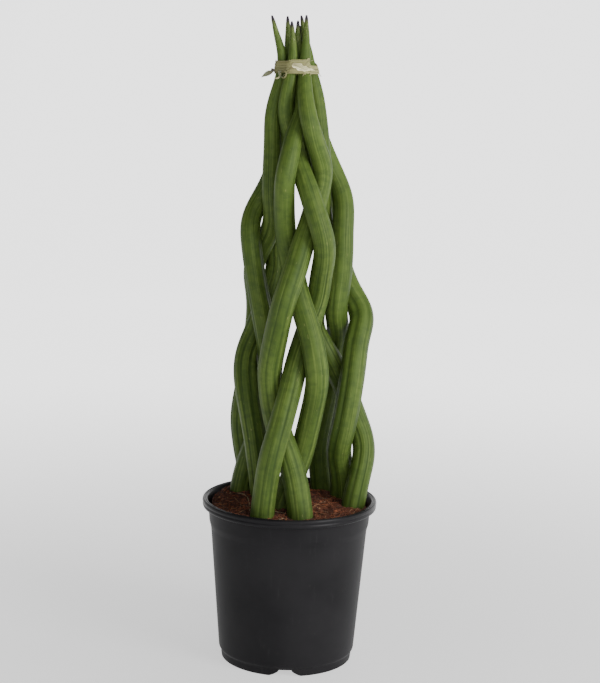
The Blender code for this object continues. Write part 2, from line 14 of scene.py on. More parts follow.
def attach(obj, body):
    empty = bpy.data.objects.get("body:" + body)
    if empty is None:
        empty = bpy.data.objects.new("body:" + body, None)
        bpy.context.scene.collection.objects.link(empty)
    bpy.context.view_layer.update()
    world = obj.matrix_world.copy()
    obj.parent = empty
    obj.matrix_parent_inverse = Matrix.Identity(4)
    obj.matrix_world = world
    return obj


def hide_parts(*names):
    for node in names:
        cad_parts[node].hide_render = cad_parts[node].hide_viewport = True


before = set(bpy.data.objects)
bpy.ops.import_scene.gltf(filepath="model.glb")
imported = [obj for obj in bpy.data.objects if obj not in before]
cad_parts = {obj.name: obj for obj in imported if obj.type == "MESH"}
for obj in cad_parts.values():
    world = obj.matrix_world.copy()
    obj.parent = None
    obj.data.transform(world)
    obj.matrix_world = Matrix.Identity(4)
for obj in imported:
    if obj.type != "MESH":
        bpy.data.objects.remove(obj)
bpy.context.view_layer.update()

# Camera and studio
# A portrait camera stands about one and a half metres in front of the plant, a little
# below the height of the tips, and leans slightly to one side as it looks down. Three
# soft boxes light the plant, the strongest from the right.

MM = 0.001
SENSOR_WIDTH = 36.0
LENS = 93.47
EYE = Vector((6.4, -1486.3, 556.7)) * MM
LOOK_DOWN = math.radians(9.23)
LEAN = math.radians(1.445)
PLANT_MIDDLE = Vector((0.0, 0.0, 320.0)) * MM

eye = bpy.data.cameras.new("eye")
eye.sensor_fit = "HORIZONTAL"
eye.sensor_width = SENSOR_WIDTH
eye.lens = LENS
eye.clip_start = 0.05
eye_object = bpy.data.objects.new("eye", eye)
turned = Matrix.Rotation(math.pi / 2 - LOOK_DOWN, 4, "X") @ Matrix.Rotation(LEAN, 4, "Z")
eye_object.matrix_world = Matrix.Translation(EYE) @ turned
bpy.context.scene.collection.objects.link(eye_object)
bpy.context.scene.camera = eye_object


def soft_light(name, place, width, height, power):
    """A white soft box aimed at the middle of the plant: metres and watts."""
    lamp = bpy.data.lights.new(name, "AREA")
    lamp.shape = "RECTANGLE"
    lamp.size = width
    lamp.size_y = height
    lamp.energy = power
    box = bpy.data.objects.new(name, lamp)
    aim = PLANT_MIDDLE - Vector(place)
    box.location = place
    box.rotation_euler = aim.to_track_quat("-Z", "Y").to_euler()
    bpy.context.scene.collection.objects.link(box)


soft_light("key_box", (1.35, -1.15, 1.05), 0.8, 1.3, 45.0)
soft_light("front_box", (0.2, -1.7, 1.6), 0.45, 0.3, 7.0)
soft_light("top_box", (0.6, 0.3, 1.8), 1.2, 1.0, 8.0)

world = bpy.data.worlds.new("studio")
world.use_nodes = True
world.node_tree.nodes["Background"].inputs["Color"].default_value = (1.0, 1.0, 1.0, 1.0)
world.node_tree.nodes["Background"].inputs["Strength"].default_value = 0.05
bpy.context.scene.world = world


# Paper sweep
# A round sheet of pale paper lies under the plant and curves up all round it. It glows
# low down, more so far from the plant and less on the left, so that it stays pale but
# leaves the gaps and the plant's left side dark.

SWEEP_FLAT = 2600.0
SWEEP_REACH = 1800.0
SWEEP_RISE = 6000.0
SWEEP_BEND = 1.5
SWEEP_TURN = 96
PAPER_GREY = 0.30


def mesh_piece(name, points, quads, smooth_angle=None):
    """An object at the origin from points in millimetres and an array of faces."""
    points = np.ascontiguousarray(np.asarray(points, dtype=np.float32).reshape(-1, 3) * MM)
    quads = np.ascontiguousarray(np.asarray(quads, dtype=np.int32))
    corners = quads.shape[1]
    mesh = bpy.data.meshes.new(name)
    mesh.vertices.add(len(points))
    mesh.vertices.foreach_set("co", points.ravel())
    mesh.loops.add(quads.size)
    mesh.loops.foreach_set("vertex_index", quads.ravel())
    mesh.polygons.add(len(quads))
    mesh.polygons.foreach_set("loop_start", np.arange(0, quads.size, corners, dtype=np.int32))
    mesh.update(calc_edges=True)
    mesh.validate()
    mesh.shade_smooth()
    if smooth_angle is not None:
        mesh.set_sharp_from_angle(angle=math.radians(smooth_angle))
    piece = bpy.data.objects.new(name, mesh)
    bpy.context.scene.collection.objects.link(piece)
    return piece


def grid_quads(rows, columns, around):
    """Faces of a grid of points, closed across its columns or not."""
    row, column = np.meshgrid(np.arange(rows - 1), np.arange(columns - (not around)),
                              indexing="ij")
    beside = (column + 1) % columns
    low, high = row * columns, (row + 1) * columns
    return np.stack([low + column, low + beside, high + beside, high + column], axis=-1
                    ).reshape(-1, 4)


class Wire:
    """An output socket of a material. Sums on it add Math nodes to the material."""

    def __init__(self, tree, socket=None):
        self.tree = tree
        self.socket = socket

    def node(self, kind, settings=(), inputs=(), output=0):
        """Add a node of a type: first its settings, then its sockets' values or links."""
        made = self.tree.nodes.new(kind)
        for name, value in dict(settings).items():
            if name == "stops":
                while len(made.color_ramp.elements) < len(value):
                    made.color_ramp.elements.new(0.5)
                for stop, (place, colour) in zip(made.color_ramp.elements, value):
                    stop.position = place
                    stop.color = (*colour, 1.0)
            else:
                setattr(made, name, value)
        for name, value in dict(inputs).items():
            if isinstance(value, Wire):
                self.tree.links.new(value.socket, made.inputs[name])
            else:
                made.inputs[name].default_value = value
        return Wire(self.tree, made.outputs[output])

    def sum_with(self, operation, first, second):
        return self.node("ShaderNodeMath", {"operation": operation}, {0: first, 1: second})

    def __add__(self, other):
        return self.sum_with("ADD", self, other)

    __radd__ = __add__

    def __sub__(self, other):
        return self.sum_with("SUBTRACT", self, other)

    def __rsub__(self, other):
        return self.sum_with("SUBTRACT", other, self)

    def __mul__(self, other):
        return self.sum_with("MULTIPLY", self, other)

    __rmul__ = __mul__

    def step(self, low, high):
        """0 below low, 1 above high and a smooth rise between them."""
        return self.node("ShaderNodeMapRange", {"interpolation_type": "SMOOTHSTEP"},
                         {0: self, 1: low, 2: high})

    def mix(self, off, on):
        """The colour off where this is 0, and on where it is 1. Colours are red, green
        and blue, or a wire."""
        off, on = ((*colour, 1.0) if isinstance(colour, tuple) else colour
                   for colour in (off, on))
        return self.node("ShaderNodeMix", {"data_type": "RGBA"}, {0: self, 6: off, 7: on}, 2)

    def stretched(self, x, y, z):
        """This vector with each of its parts multiplied."""
        return self.node("ShaderNodeVectorMath", {"operation": "MULTIPLY"},
                         {0: self, 1: (x, y, z)})

    def grain(self, scale, detail=2.0, rough=0.5):
        """Noise at this vector, mostly between 0.3 and 0.7."""
        return self.node("ShaderNodeTexNoise", {},
                         {"Vector": self, "Scale": scale, "Detail": detail, "Roughness": rough})


def new_finish(name):
    """A material with one Principled shader, and a wire to build on."""
    material = bpy.data.materials.new(name)
    material.use_nodes = True
    return material, Wire(material.node_tree), material.node_tree.nodes["Principled BSDF"]


def plug(wire, shader, socket):
    """Feed a shader's socket from a wire."""
    wire.tree.links.new(wire.socket, shader.inputs[socket])


# Radius and height: flat to the bend, then FLAT + REACH sin b and RISE (1 - cos b).
bend = SWEEP_BEND * np.linspace(0.0, 1.0, 24)
sweep_out = np.append([1.0, 300.0, 800.0, 1500.0], SWEEP_FLAT + SWEEP_REACH * np.sin(bend))
sweep_up = np.append(np.zeros(4), SWEEP_RISE * (1.0 - np.cos(bend)))
around = np.arange(SWEEP_TURN) * 2.0 * math.pi / SWEEP_TURN
sweep = np.stack([sweep_out[:, None] * np.cos(around), sweep_out[:, None] * np.sin(around),
                  np.repeat(sweep_up[:, None], SWEEP_TURN, axis=1)], axis=-1)
paper = mesh_piece("paper_sweep", sweep, grid_quads(len(sweep), SWEEP_TURN, True))

pale_paper, wire, shader = new_finish("pale_paper")
place = wire.node("ShaderNodeTexCoord", output=3)
distance = wire.node("ShaderNodeVectorMath", {"operation": "LENGTH"}, {0: place}, 1)
across = wire.node("ShaderNodeSeparateXYZ", {}, {0: place})
height = wire.node("ShaderNodeSeparateXYZ", {}, {0: place}, 2)
far = distance.step(0.05, 1.6)
glow = across.step(-1.8, -0.8).mix(far.mix((0.25,) * 3, (0.30,) * 3),
                                   far.mix((0.40,) * 3, (1.0,) * 3))
plug(height.step(1.0, 1.7).mix(glow, (0.0,) * 3), shader, "Emission Color")
shader.inputs["Emission Strength"].default_value = 2.3
shader.inputs["Base Color"].default_value = (PAPER_GREY, PAPER_GREY, PAPER_GREY, 1.0)
shader.inputs["Roughness"].default_value = 0.8
paper.data.materials.append(pale_paper)


# Nursery pot
# A thin charcoal pot moulded in one piece: a rolled rim with two ridges, a collar, a
# tapering wall and a foot ring that is notched and drilled so that water drains away.

POT_HEIGHT = 160.0
RIM_RADIUS = 85.5
RIM_DEPTH = 8.6
COLLAR_RADIUS = 78.9
COLLAR_BOTTOM = 137.0
WALL_TOP_RADIUS = 76.6
WALL_TOP = 131.0
WALL_FOOT_RADIUS = 66.9
WALL_THICKNESS = 1.8
FOOT_RADIUS = 64.5
FOOT_WIDTH = 3.4
FOOT_HEIGHT = 8.0
POT_FLOOR = 10.0
POT_TURN = 192
NOTCH_COUNT = 4
NOTCH_WIDTH = 32.0
NOTCH_TOP_WIDTH = 12.0
DRAIN_HOLE_COUNT = 8
DRAIN_HOLE_RADIUS = 5.0
DRAIN_CIRCLE_RADIUS = 44.0
DRILL_LENGTH = 8.0
POT_SHARP_ANGLE = math.radians(38.0)
PLASTIC_DARK = (0.0065, 0.0062, 0.0070)
PLASTIC_LIGHT = (0.0105, 0.0100, 0.0110)
SCUFF_GREY = (0.022, 0.021, 0.022)
DUST_BROWN = (0.030, 0.027, 0.024)


def inner_wall_radius(height):
    """Radius of the inside of the pot's wall at a height."""
    heights = (POT_FLOOR, WALL_TOP, COLLAR_BOTTOM, POT_HEIGHT - RIM_DEPTH)
    radii = (WALL_FOOT_RADIUS, WALL_TOP_RADIUS, COLLAR_RADIUS - 0.6, COLLAR_RADIUS)
    return np.interp(height, heights, radii) - WALL_THICKNESS


def rounded(profile, reach):
    """A profile with each corner swapped for a short curve that starts and ends at most
    reach away from it, by the formula (1-t)^2 a + 2t(1-t) corner + t^2 b."""
    profile = np.asarray(profile, dtype=float)
    t = np.linspace(0.0, 1.0, 6)[:, None]
    points = [profile[:1]]
    for before, corner, after in zip(profile[:-2], profile[1:-1], profile[2:]):
        a, b = (corner + (end - corner) * min(0.46, reach / np.linalg.norm(end - corner))
                for end in (before, after))
        points.append((1 - t) ** 2 * a + 2 * t * (1 - t) * corner + t ** 2 * b)
    points.append(profile[-1:])
    return np.vstack(points)


pot_profile = rounded([
    (0.0, POT_FLOOR),
    (inner_wall_radius(POT_FLOOR) - 1.5, POT_FLOOR),
    (inner_wall_radius(POT_FLOOR), POT_FLOOR + 2.5),
    (inner_wall_radius(WALL_TOP), WALL_TOP),
    (inner_wall_radius(COLLAR_BOTTOM), COLLAR_BOTTOM),
    (COLLAR_RADIUS - WALL_THICKNESS, POT_HEIGHT - RIM_DEPTH),
    (RIM_RADIUS - 6.3, POT_HEIGHT - 4.0),
    (RIM_RADIUS - 4.9, POT_HEIGHT - 0.7),
    (RIM_RADIUS - 3.7, POT_HEIGHT - 0.2),
    (RIM_RADIUS - 2.9, POT_HEIGHT - 1.0),
    (RIM_RADIUS - 1.9, POT_HEIGHT + 0.1),
    (RIM_RADIUS - 0.4, POT_HEIGHT - 0.6),
    (RIM_RADIUS + 0.1, POT_HEIGHT - 2.8),
    (RIM_RADIUS - 1.1, POT_HEIGHT - 4.4),
    (RIM_RADIUS - 0.2, POT_HEIGHT - 5.9),
    (RIM_RADIUS - 0.7, POT_HEIGHT - 7.7),
    (RIM_RADIUS - 2.4, POT_HEIGHT - RIM_DEPTH),
    (COLLAR_RADIUS + 0.5, POT_HEIGHT - RIM_DEPTH - 0.6),
    (COLLAR_RADIUS - 0.6, COLLAR_BOTTOM),
    (WALL_TOP_RADIUS, WALL_TOP),
    (WALL_FOOT_RADIUS, POT_FLOOR + 0.6),
    (WALL_FOOT_RADIUS - 0.6, POT_FLOOR - 0.8),
    (FOOT_RADIUS + 0.2, FOOT_HEIGHT - 0.6),
    (FOOT_RADIUS, 0.6),
    (FOOT_RADIUS - 0.6, 0.0),
    (FOOT_RADIUS - FOOT_WIDTH + 0.4, 0.0),
    (FOOT_RADIUS - FOOT_WIDTH, 0.5),
    (FOOT_RADIUS - FOOT_WIDTH - 0.3, FOOT_HEIGHT),
    (0.0, FOOT_HEIGHT),
], 1.6)


def sealed(piece, reach=0.0):
    """Merge a mesh's points that lie within reach of each other, in metres, and turn its
    faces outwards."""
    bm = bmesh.new()
    bm.from_mesh(piece.data)
    if reach:
        bmesh.ops.remove_doubles(bm, verts=bm.verts, dist=reach)
    bmesh.ops.recalc_face_normals(bm, faces=bm.faces)
    bm.to_mesh(piece.data)
    bm.free()
    return piece


def turned_piece(name, profile, turns):
    """A profile of radius and height turned round Z: (r cos a, r sin a, h) at each angle.

    The profile starts and ends on the axis, where the points of a ring are merged.
    """
    angle = np.arange(turns) * 2.0 * math.pi / turns
    radius, height = profile[:, :1], profile[:, 1:]
    rings = np.stack([radius * np.cos(angle), radius * np.sin(angle),
                      np.broadcast_to(height, (len(profile), turns))], axis=-1)
    piece = mesh_piece(name, rings, grid_quads(len(profile), turns, True)[:, ::-1])
    return sealed(piece, 0.001 * MM)


def cut_away(piece, cutters):
    """Cut some objects out of a piece, and remove them."""
    for cutter in cutters:
        cut = piece.modifiers.new("cut", "BOOLEAN")
        cut.operation = "DIFFERENCE"
        cut.object = cutter
    graph = bpy.context.evaluated_depsgraph_get()
    mesh = bpy.data.meshes.new_from_object(piece.evaluated_get(graph))
    piece.modifiers.clear()
    piece.data = mesh
    for cutter in cutters:
        bpy.data.objects.remove(cutter)


def cutter(name, bm):
    """An object made from a bmesh, which is freed."""
    mesh = bpy.data.meshes.new(name)
    bm.to_mesh(mesh)
    bm.free()
    made = bpy.data.objects.new(name, mesh)
    bpy.context.scene.collection.objects.link(made)
    return made


def notch_block(turn):
    """A block with flaring sides, half width 6 + 10 (1 - z/top)^1.7, set at a turn."""
    top = FOOT_HEIGHT - 1.4
    height = np.linspace(-1.0, top, 10)
    half = NOTCH_TOP_WIDTH / 2 + (NOTCH_WIDTH - NOTCH_TOP_WIDTH) / 2 * np.clip(
        1.0 - height / top, 0.0, 1.2) ** 1.7
    side = np.concatenate([np.stack([half, height], 1), np.stack([-half, height], 1)[::-1]])
    near, far = FOOT_RADIUS - 9.0, FOOT_RADIUS + 6.0
    ends = [np.column_stack([side[:, 0], np.full(len(side), -y), side[:, 1]])
            for y in (near, far)]
    count = len(side)
    bm = bmesh.new()
    verts = [bm.verts.new(point * MM) for point in np.concatenate(ends)]
    bm.faces.new(verts[:count])
    bm.faces.new(verts[count:][::-1])
    for i in range(count):
        j = (i + 1) % count
        bm.faces.new((verts[i], verts[i + count], verts[j + count], verts[j]))
    bmesh.ops.recalc_face_normals(bm, faces=bm.faces)
    bmesh.ops.rotate(bm, verts=bm.verts, matrix=Matrix.Rotation(turn, 3, "Z"))
    return cutter("notch_block", bm)


def drill(turn):
    """A round peg through the pot's floor, set at a turn on the drain circle."""
    place = Vector((DRAIN_CIRCLE_RADIUS * math.cos(turn), DRAIN_CIRCLE_RADIUS * math.sin(turn),
                    (FOOT_HEIGHT + POT_FLOOR) / 2)) * MM
    bm = bmesh.new()
    bmesh.ops.create_cone(bm, cap_ends=True, segments=40, radius1=DRAIN_HOLE_RADIUS * MM,
                          radius2=DRAIN_HOLE_RADIUS * MM, depth=DRILL_LENGTH * MM,
                          matrix=Matrix.Translation(place))
    return cutter("drill", bm)


pot = turned_piece("nursery_pot", pot_profile, POT_TURN)
cut_away(pot, [notch_block(2 * math.pi * i / NOTCH_COUNT) for i in range(NOTCH_COUNT)]
         + [drill(2 * math.pi * (i + 0.5) / DRAIN_HOLE_COUNT) for i in range(DRAIN_HOLE_COUNT)])
pot.data.shade_smooth()
pot.data.set_sharp_from_angle(angle=POT_SHARP_ANGLE)

charcoal, wire, shader = new_finish("charcoal_plastic")
place = wire.node("ShaderNodeTexCoord", output=3)
cloudy = place.grain(18.0, 3.0)
fine = place.grain(900.0, 2.0)
scuffed = place.stretched(240.0, 240.0, 26.0).grain(1.0, 3.0, 0.6).step(0.60, 0.74)
dusty = place.grain(150.0, 4.0, 0.7).step(0.60, 0.78)
colour = cloudy.step(0.3, 0.7).mix(PLASTIC_DARK, PLASTIC_LIGHT)
colour = (scuffed * 0.35).mix(colour, SCUFF_GREY)
colour = (dusty * 0.25).mix(colour, DUST_BROWN)
plug(colour, shader, "Base Color")
shiny_rim = wire.node("ShaderNodeSeparateXYZ", {}, {0: place}, 2).step(0.150, 0.153)
plug(0.46 + 0.10 * cloudy + 0.10 * scuffed - 0.17 * shiny_rim, shader, "Roughness")
relief = wire.node("ShaderNodeBump", {}, {"Strength": 0.12, "Distance": 0.0002, "Height": fine})
plug(relief, shader, "Normal")
shader.inputs["Specular IOR Level"].default_value = 0.10
pot.data.materials.clear()
pot.data.materials.append(charcoal)
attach(pot, "root")
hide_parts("pot")


# Leaves
# Nine round, solid leaves taper from about 23 mm at the soil to a dry brown spine. Each
# has long grooves and one deeper channel. They were bent while they grew and plaited in
# threes, so each lies against its neighbours.

LEAF_FOOT = 112.0
SPINE_LENGTH = 5.0
SPINE_RADIUS = 1.7
BRAID_POINTS = 130
BRAID_GAP = 1.0
SOIL_GAP = 2.4
BRAID_STEPS = 380
SETTLE_STEPS = 60
BEND_LENGTH = 12.0
STIFFNESS = (0.15, 0.25)
ROUTE_HOLD = 0.03
SOIL_WALL = 2.5
ROUND_OFF = 7.0
REACH = 6
PUSH_APART = (0.4, 1.0)
TIE_HEIGHT = 576.0
TIE_CENTRE = (-3.5, 0.5)
TIE_PULL = 0.02
TIE_PULL_SHARE = (1.2, 1.6)
TIE_PULL_LENGTH = 10.0

# Each leaf: its name, its radius at the foot, the angle of its channel in degrees, and
# its route as height, right and back.
LEAVES = (
    ("leaf_front_left", 11.0, 20.0, (
        (164, -25, -49), (206, -20, -52), (239, -11, -50), (274, -2, -41), (298, 4, -33),
        (316, 9, -27), (344, 18, -21), (365, 22, -22), (396, 25, -31), (418, 26, -38),
        (449, 16, -41), (485, 6, -32), (512, -6, -20), (535, -11, -17), (569, -9, -16),
        (590, -5, -12), (618, -10, -8),
    )),
    ("leaf_front_right", 11.5, 75.0, (
        (157, 11, -50), (194, 5, -46), (218, -4, -34), (233, -13, -25), (259, -19, -27),
        (287, -21, -30), (312, -19, -33), (355, -11, -39), (403, 6, -39), (433, 14, -22),
        (454, 19, -20), (474, 21, -24), (499, 16, -27), (523, 7, -27), (546, 5, -22),
        (569, 7, -16), (590, 8, -12), (624, 4, -6),
    )),
    ("leaf_front_middle", 11.0, 130.0, (
        (157, -9, -29), (201, 9, -22), (234, 16, -25), (261, 21, -31), (286, 23, -36),
        (314, 20, -40), (341, 13, -42), (364, 4, -35), (396, -4, -18), (425, -10, -23),
        (449, -12, -30), (472, -10, -36), (505, -4, -38), (528, 0, -22), (539, 3, -8),
        (553, 2, -4), (569, -1, -3), (590, -1, -2), (619, -3, -2),
    )),
    ("leaf_left_back", 10.2, 10.0, (
        (155, -39, 54), (184, -45, 44), (208, -49, 28), (228, -52, 18), (247, -50, 20),
        (273, -45, 29), (299, -41, 37), (334, -37, 43), (357, -37, 41), (377, -36, 36),
        (404, -33, 28), (435, -27, 14), (460, -25, 4), (494, -24, -4), (522, -24, -5),
        (548, -21, -4), (569, -17, -4), (588, -19, -4), (623, -29, -6),
    )),
    ("leaf_left_outer", 10.2, -20.0, (
        (160, -50, 36), (192, -43, 30), (212, -35, 34), (238, -27, 42), (271, -24, 38),
        (312, -26, 26), (348, -32, 14), (371, -37, 6), (401, -42, -4), (422, -41, -5),
        (450, -33, 5), (474, -23, 15), (503, -18, 18), (541, -16, 14), (569, -13, 9),
        (590, -12, 3), (623, -13, 2),
    )),
    ("leaf_left_front", 11.4, -60.0, (
        (174, -28, 9), (227, -36, -2), (262, -44, -6), (285, -47, -4), (303, -44, 6),
        (322, -36, 24), (342, -30, 38), (381, -24, 49), (419, -18, 42), (483, -13, 32),
        (536, -11, 23), (569, -8, 18), (592, -10, 13), (616, -12, 10),
    )),
    ("leaf_right_front", 10.6, 100.0, (
        (148, 61, -6), (172, 65, -6), (191, 67, -3), (211, 67, 3), (230, 65, 8),
        (258, 56, 13), (284, 44, 14), (310, 33, 16), (333, 28, 26), (351, 27, 35),
        (391, 28, 33), (436, 29, 25), (470, 26, 14), (499, 22, 4), (523, 20, -3),
        (549, 16, -4), (569, 10, -2), (592, 4, 3), (624, -1, 4),
    )),
    ("leaf_right_back", 11.4, 170.0, (
        (158, 33, 46), (180, 29, 46), (203, 27, 46), (225, 29, 47), (248, 33, 46),
        (272, 36, 42), (308, 40, 26), (330, 40, 14), (349, 42, 6), (380, 44, 1),
        (410, 45, -2), (434, 43, -1), (457, 39, 3), (478, 33, 9), (499, 24, 16),
        (518, 17, 20), (541, 11, 18), (569, 7, 12), (593, 5, 10), (618, 2, 9),
    )),
    ("leaf_right_outer", 12.1, -118.0, (
        (166, 53, 32), (202, 53, 13), (229, 52, -1), (259, 54, -11), (283, 58, -12),
        (307, 60, -7), (332, 58, 4), (350, 54, 15), (370, 48, 26), (387, 42, 33),
        (406, 39, 37), (435, 30, 40), (464, 23, 39), (508, 12, 32), (541, 5, 25),
        (569, 1, 17), (593, -1, 15), (615, -1, 12),
    )),
)


def smoothing(heights, length):
    """Weights that average points along a leaf over a bell of that length."""
    apart = heights[:, None] - heights[None, :]
    weights = np.exp(-0.5 * (apart / length) ** 2)
    return weights / weights.sum(axis=1, keepdims=True)


def leaf_radii(share, foot_radius):
    """Radius along a leaf: foot (1 - 0.18 s)(1 - s^7) + spine (0.55 + 0.45 s^6)."""
    body = (1.0 - 0.18 * share) * (1.0 - share ** 7)
    return foot_radius * body + SPINE_RADIUS * (0.55 + 0.45 * share ** 6)


def first_route(route, heights):
    """A leaf's centre line through its knots, before it bends round the others."""
    knots = np.array(route, dtype=float)
    foot = knots[0] + (knots[0] - knots[1]) * 0.5
    foot[0] = LEAF_FOOT
    knots = np.vstack([foot, knots])
    right = np.interp(heights, knots[:, 0], knots[:, 1])
    back = np.interp(heights, knots[:, 0], knots[:, 2])
    places = smoothing(heights, ROUND_OFF) @ np.stack([right, back], axis=1)
    return np.column_stack([places, heights])


def closest_gaps(centres, radii, pairs):
    """For each point of a pair's first leaf, the second leaf's point least clear of it."""
    first, second = pairs
    count = centres.shape[1]
    wanted = np.where(centres[0, :, 2] < POT_HEIGHT, SOIL_GAP, BRAID_GAP)
    gap = np.full((len(first), count), np.inf)
    nearest = np.zeros((len(first), count), dtype=int)
    for shift in range(-REACH, REACH + 1):
        other = np.clip(np.arange(count) + shift, 0, count - 1)
        apart = np.linalg.norm(centres[first] - centres[second][:, other], axis=2)
        clear = apart - radii[first] - radii[second][:, other] - wanted
        closer = clear < gap
        gap = np.where(closer, clear, gap)
        nearest = np.where(closer, other[None, :], nearest)
    return gap, nearest


def plait_leaves():
    """Centre lines and radii of all leaves, bent until none presses into another.

    Each step moves leaves that would overlap apart by half the overlap, spread along
    the leaf; keeps them off the pot's wall; and, until the last steps, straightens them
    a little, holds them near their routes and draws them together at the tie.
    """
    tips = np.array([route[-1][0] for _, _, _, route in LEAVES]) - SPINE_LENGTH
    feet = np.array([radius for _, radius, _, _ in LEAVES])
    share = np.linspace(0.0, 1.0, BRAID_POINTS)
    heights = LEAF_FOOT + share[None, :] * (tips - LEAF_FOOT)[:, None]
    centres = np.stack([first_route(leaf[3], h) for leaf, h in zip(LEAVES, heights)])
    radii = leaf_radii(share[None, :], feet[:, None])
    drawn = centres[:, :, 0].copy()
    levels = np.array([FOOT_HEIGHT, WALL_TOP, COLLAR_BOTTOM, POT_HEIGHT])
    limit = np.interp(heights, levels, inner_wall_radius(levels)) - SOIL_WALL - radii
    limit = np.where(heights < POT_HEIGHT, limit, np.inf)
    pairs = np.triu_indices(len(LEAVES), 1)
    spread = smoothing(heights.mean(axis=0), BEND_LENGTH)
    tie = np.exp(-0.5 * ((heights - TIE_HEIGHT) / TIE_PULL_LENGTH) ** 2)
    pull = TIE_PULL * tie[:, :, None] * np.array(TIE_PULL_SHARE)
    for step in range(BRAID_STEPS):
        places = centres[:, :, :2]
        gap, nearest = closest_gaps(centres, radii, pairs)
        between = np.take_along_axis(centres[pairs[1]], nearest[:, :, None], axis=1)
        away = (centres[pairs[0]] - between)[:, :, :2] * np.array(PUSH_APART)
        away /= np.linalg.norm(away, axis=2, keepdims=True) + 1e-9
        push = 0.5 * np.clip(-gap, 0.0, None)[:, :, None] * away
        move = np.zeros_like(places)
        np.add.at(move, pairs[0], push)
        np.add.at(move, (pairs[1][:, None], nearest), -push)
        out = np.linalg.norm(places, axis=2)
        move -= 0.5 * (np.clip(out - limit, 0.0, None) / out)[:, :, None] * places
        if step < BRAID_STEPS - SETTLE_STEPS:
            move -= pull * (places - np.array(TIE_CENTRE))
        move = spread @ move
        if step < BRAID_STEPS - SETTLE_STEPS:
            bent = np.zeros_like(places)
            bent[:, 1:-1] = places[:, :-2] - 2.0 * places[:, 1:-1] + places[:, 2:]
            move += np.array(STIFFNESS) * bent
            move[:, :, 0] += ROUTE_HOLD * (drawn - places[:, :, 0])
        centres[:, :, :2] += move
    return centres, radii


leaf_lines, leaf_widths = plait_leaves()

LEAF_SIDES = 80
LEAF_RINGS = 400
TIP_RINGS = 60
TIP_START = 0.93
SPINE_RINGS = 8
LEAF_FLUTES = 8
FLUTE_DEPTH = 0.045
FLUTE_POWER = 2.2
FLUTE_WANDER = 0.16
CHANNEL_DEPTH = 0.09
CHANNEL_WIDTH = 0.30
SWELLING = 0.012
LUMPS = 0.006
SKIN_INSET = 0.006
GRAIN_RADIUS = 11.0
LEAF_DARK = (0.033, 0.058, 0.008)
LEAF_LIGHT = (0.060, 0.096, 0.016)
# A pale streak colour, partly a painted highlight along the ridges.
LEAF_STREAK_AND_HIGHLIGHT = (0.105, 0.145, 0.032)
LEAF_BAND = (0.020, 0.040, 0.009)
# A dark groove colour, partly painted shade in the carved grooves and channel.
LEAF_GROOVE_AND_SHADE = (0.014, 0.029, 0.005)
LEAF_SCAR = (0.20, 0.20, 0.07)
TIP_FLECK = (0.26, 0.25, 0.14)
TIP_PALE = (0.10, 0.09, 0.04)
TIP_DRY = (0.020, 0.015, 0.022)


def add_values(piece, name, values):
    """Keep one number or vector for each point of a piece's mesh under a name."""
    values = np.ascontiguousarray(values, dtype=np.float32)
    if values.ndim == 1:
        piece.data.attributes.new(name, "FLOAT", "POINT").data.foreach_set("value", values)
    else:
        layer = piece.data.attributes.new(name, "FLOAT_VECTOR", "POINT")
        layer.data.foreach_set("vector", values.ravel())


def waves(values, seed, low, high, count=7):
    """A smooth line that wanders between about -1 and 1: a mean of sines whose rates lie
    between low and high, with fixed phases."""
    chance = np.random.default_rng(seed)
    rate = chance.uniform(low, high, count)
    phase = chance.uniform(0.0, 2.0 * math.pi, count)
    return np.sin(values[..., None] * rate + phase).sum(axis=-1) / math.sqrt(count)


def capped(rows, sides):
    """Triangles of a closed tube of rings, with a fan at each end. The points at the middle
    of the first and the last ring follow after the rings."""
    side = np.arange(sides)
    beside = (side + 1) % sides
    last = (rows - 1) * sides
    quads = grid_quads(rows, sides, True)
    first_fan = np.stack([beside, side, np.full(sides, rows * sides)], axis=1)
    last_fan = np.stack([last + side, last + beside, np.full(sides, rows * sides + 1)], axis=1)
    return np.concatenate([quads[:, [0, 1, 2]], quads[:, [0, 2, 3]], first_fan, last_fan])


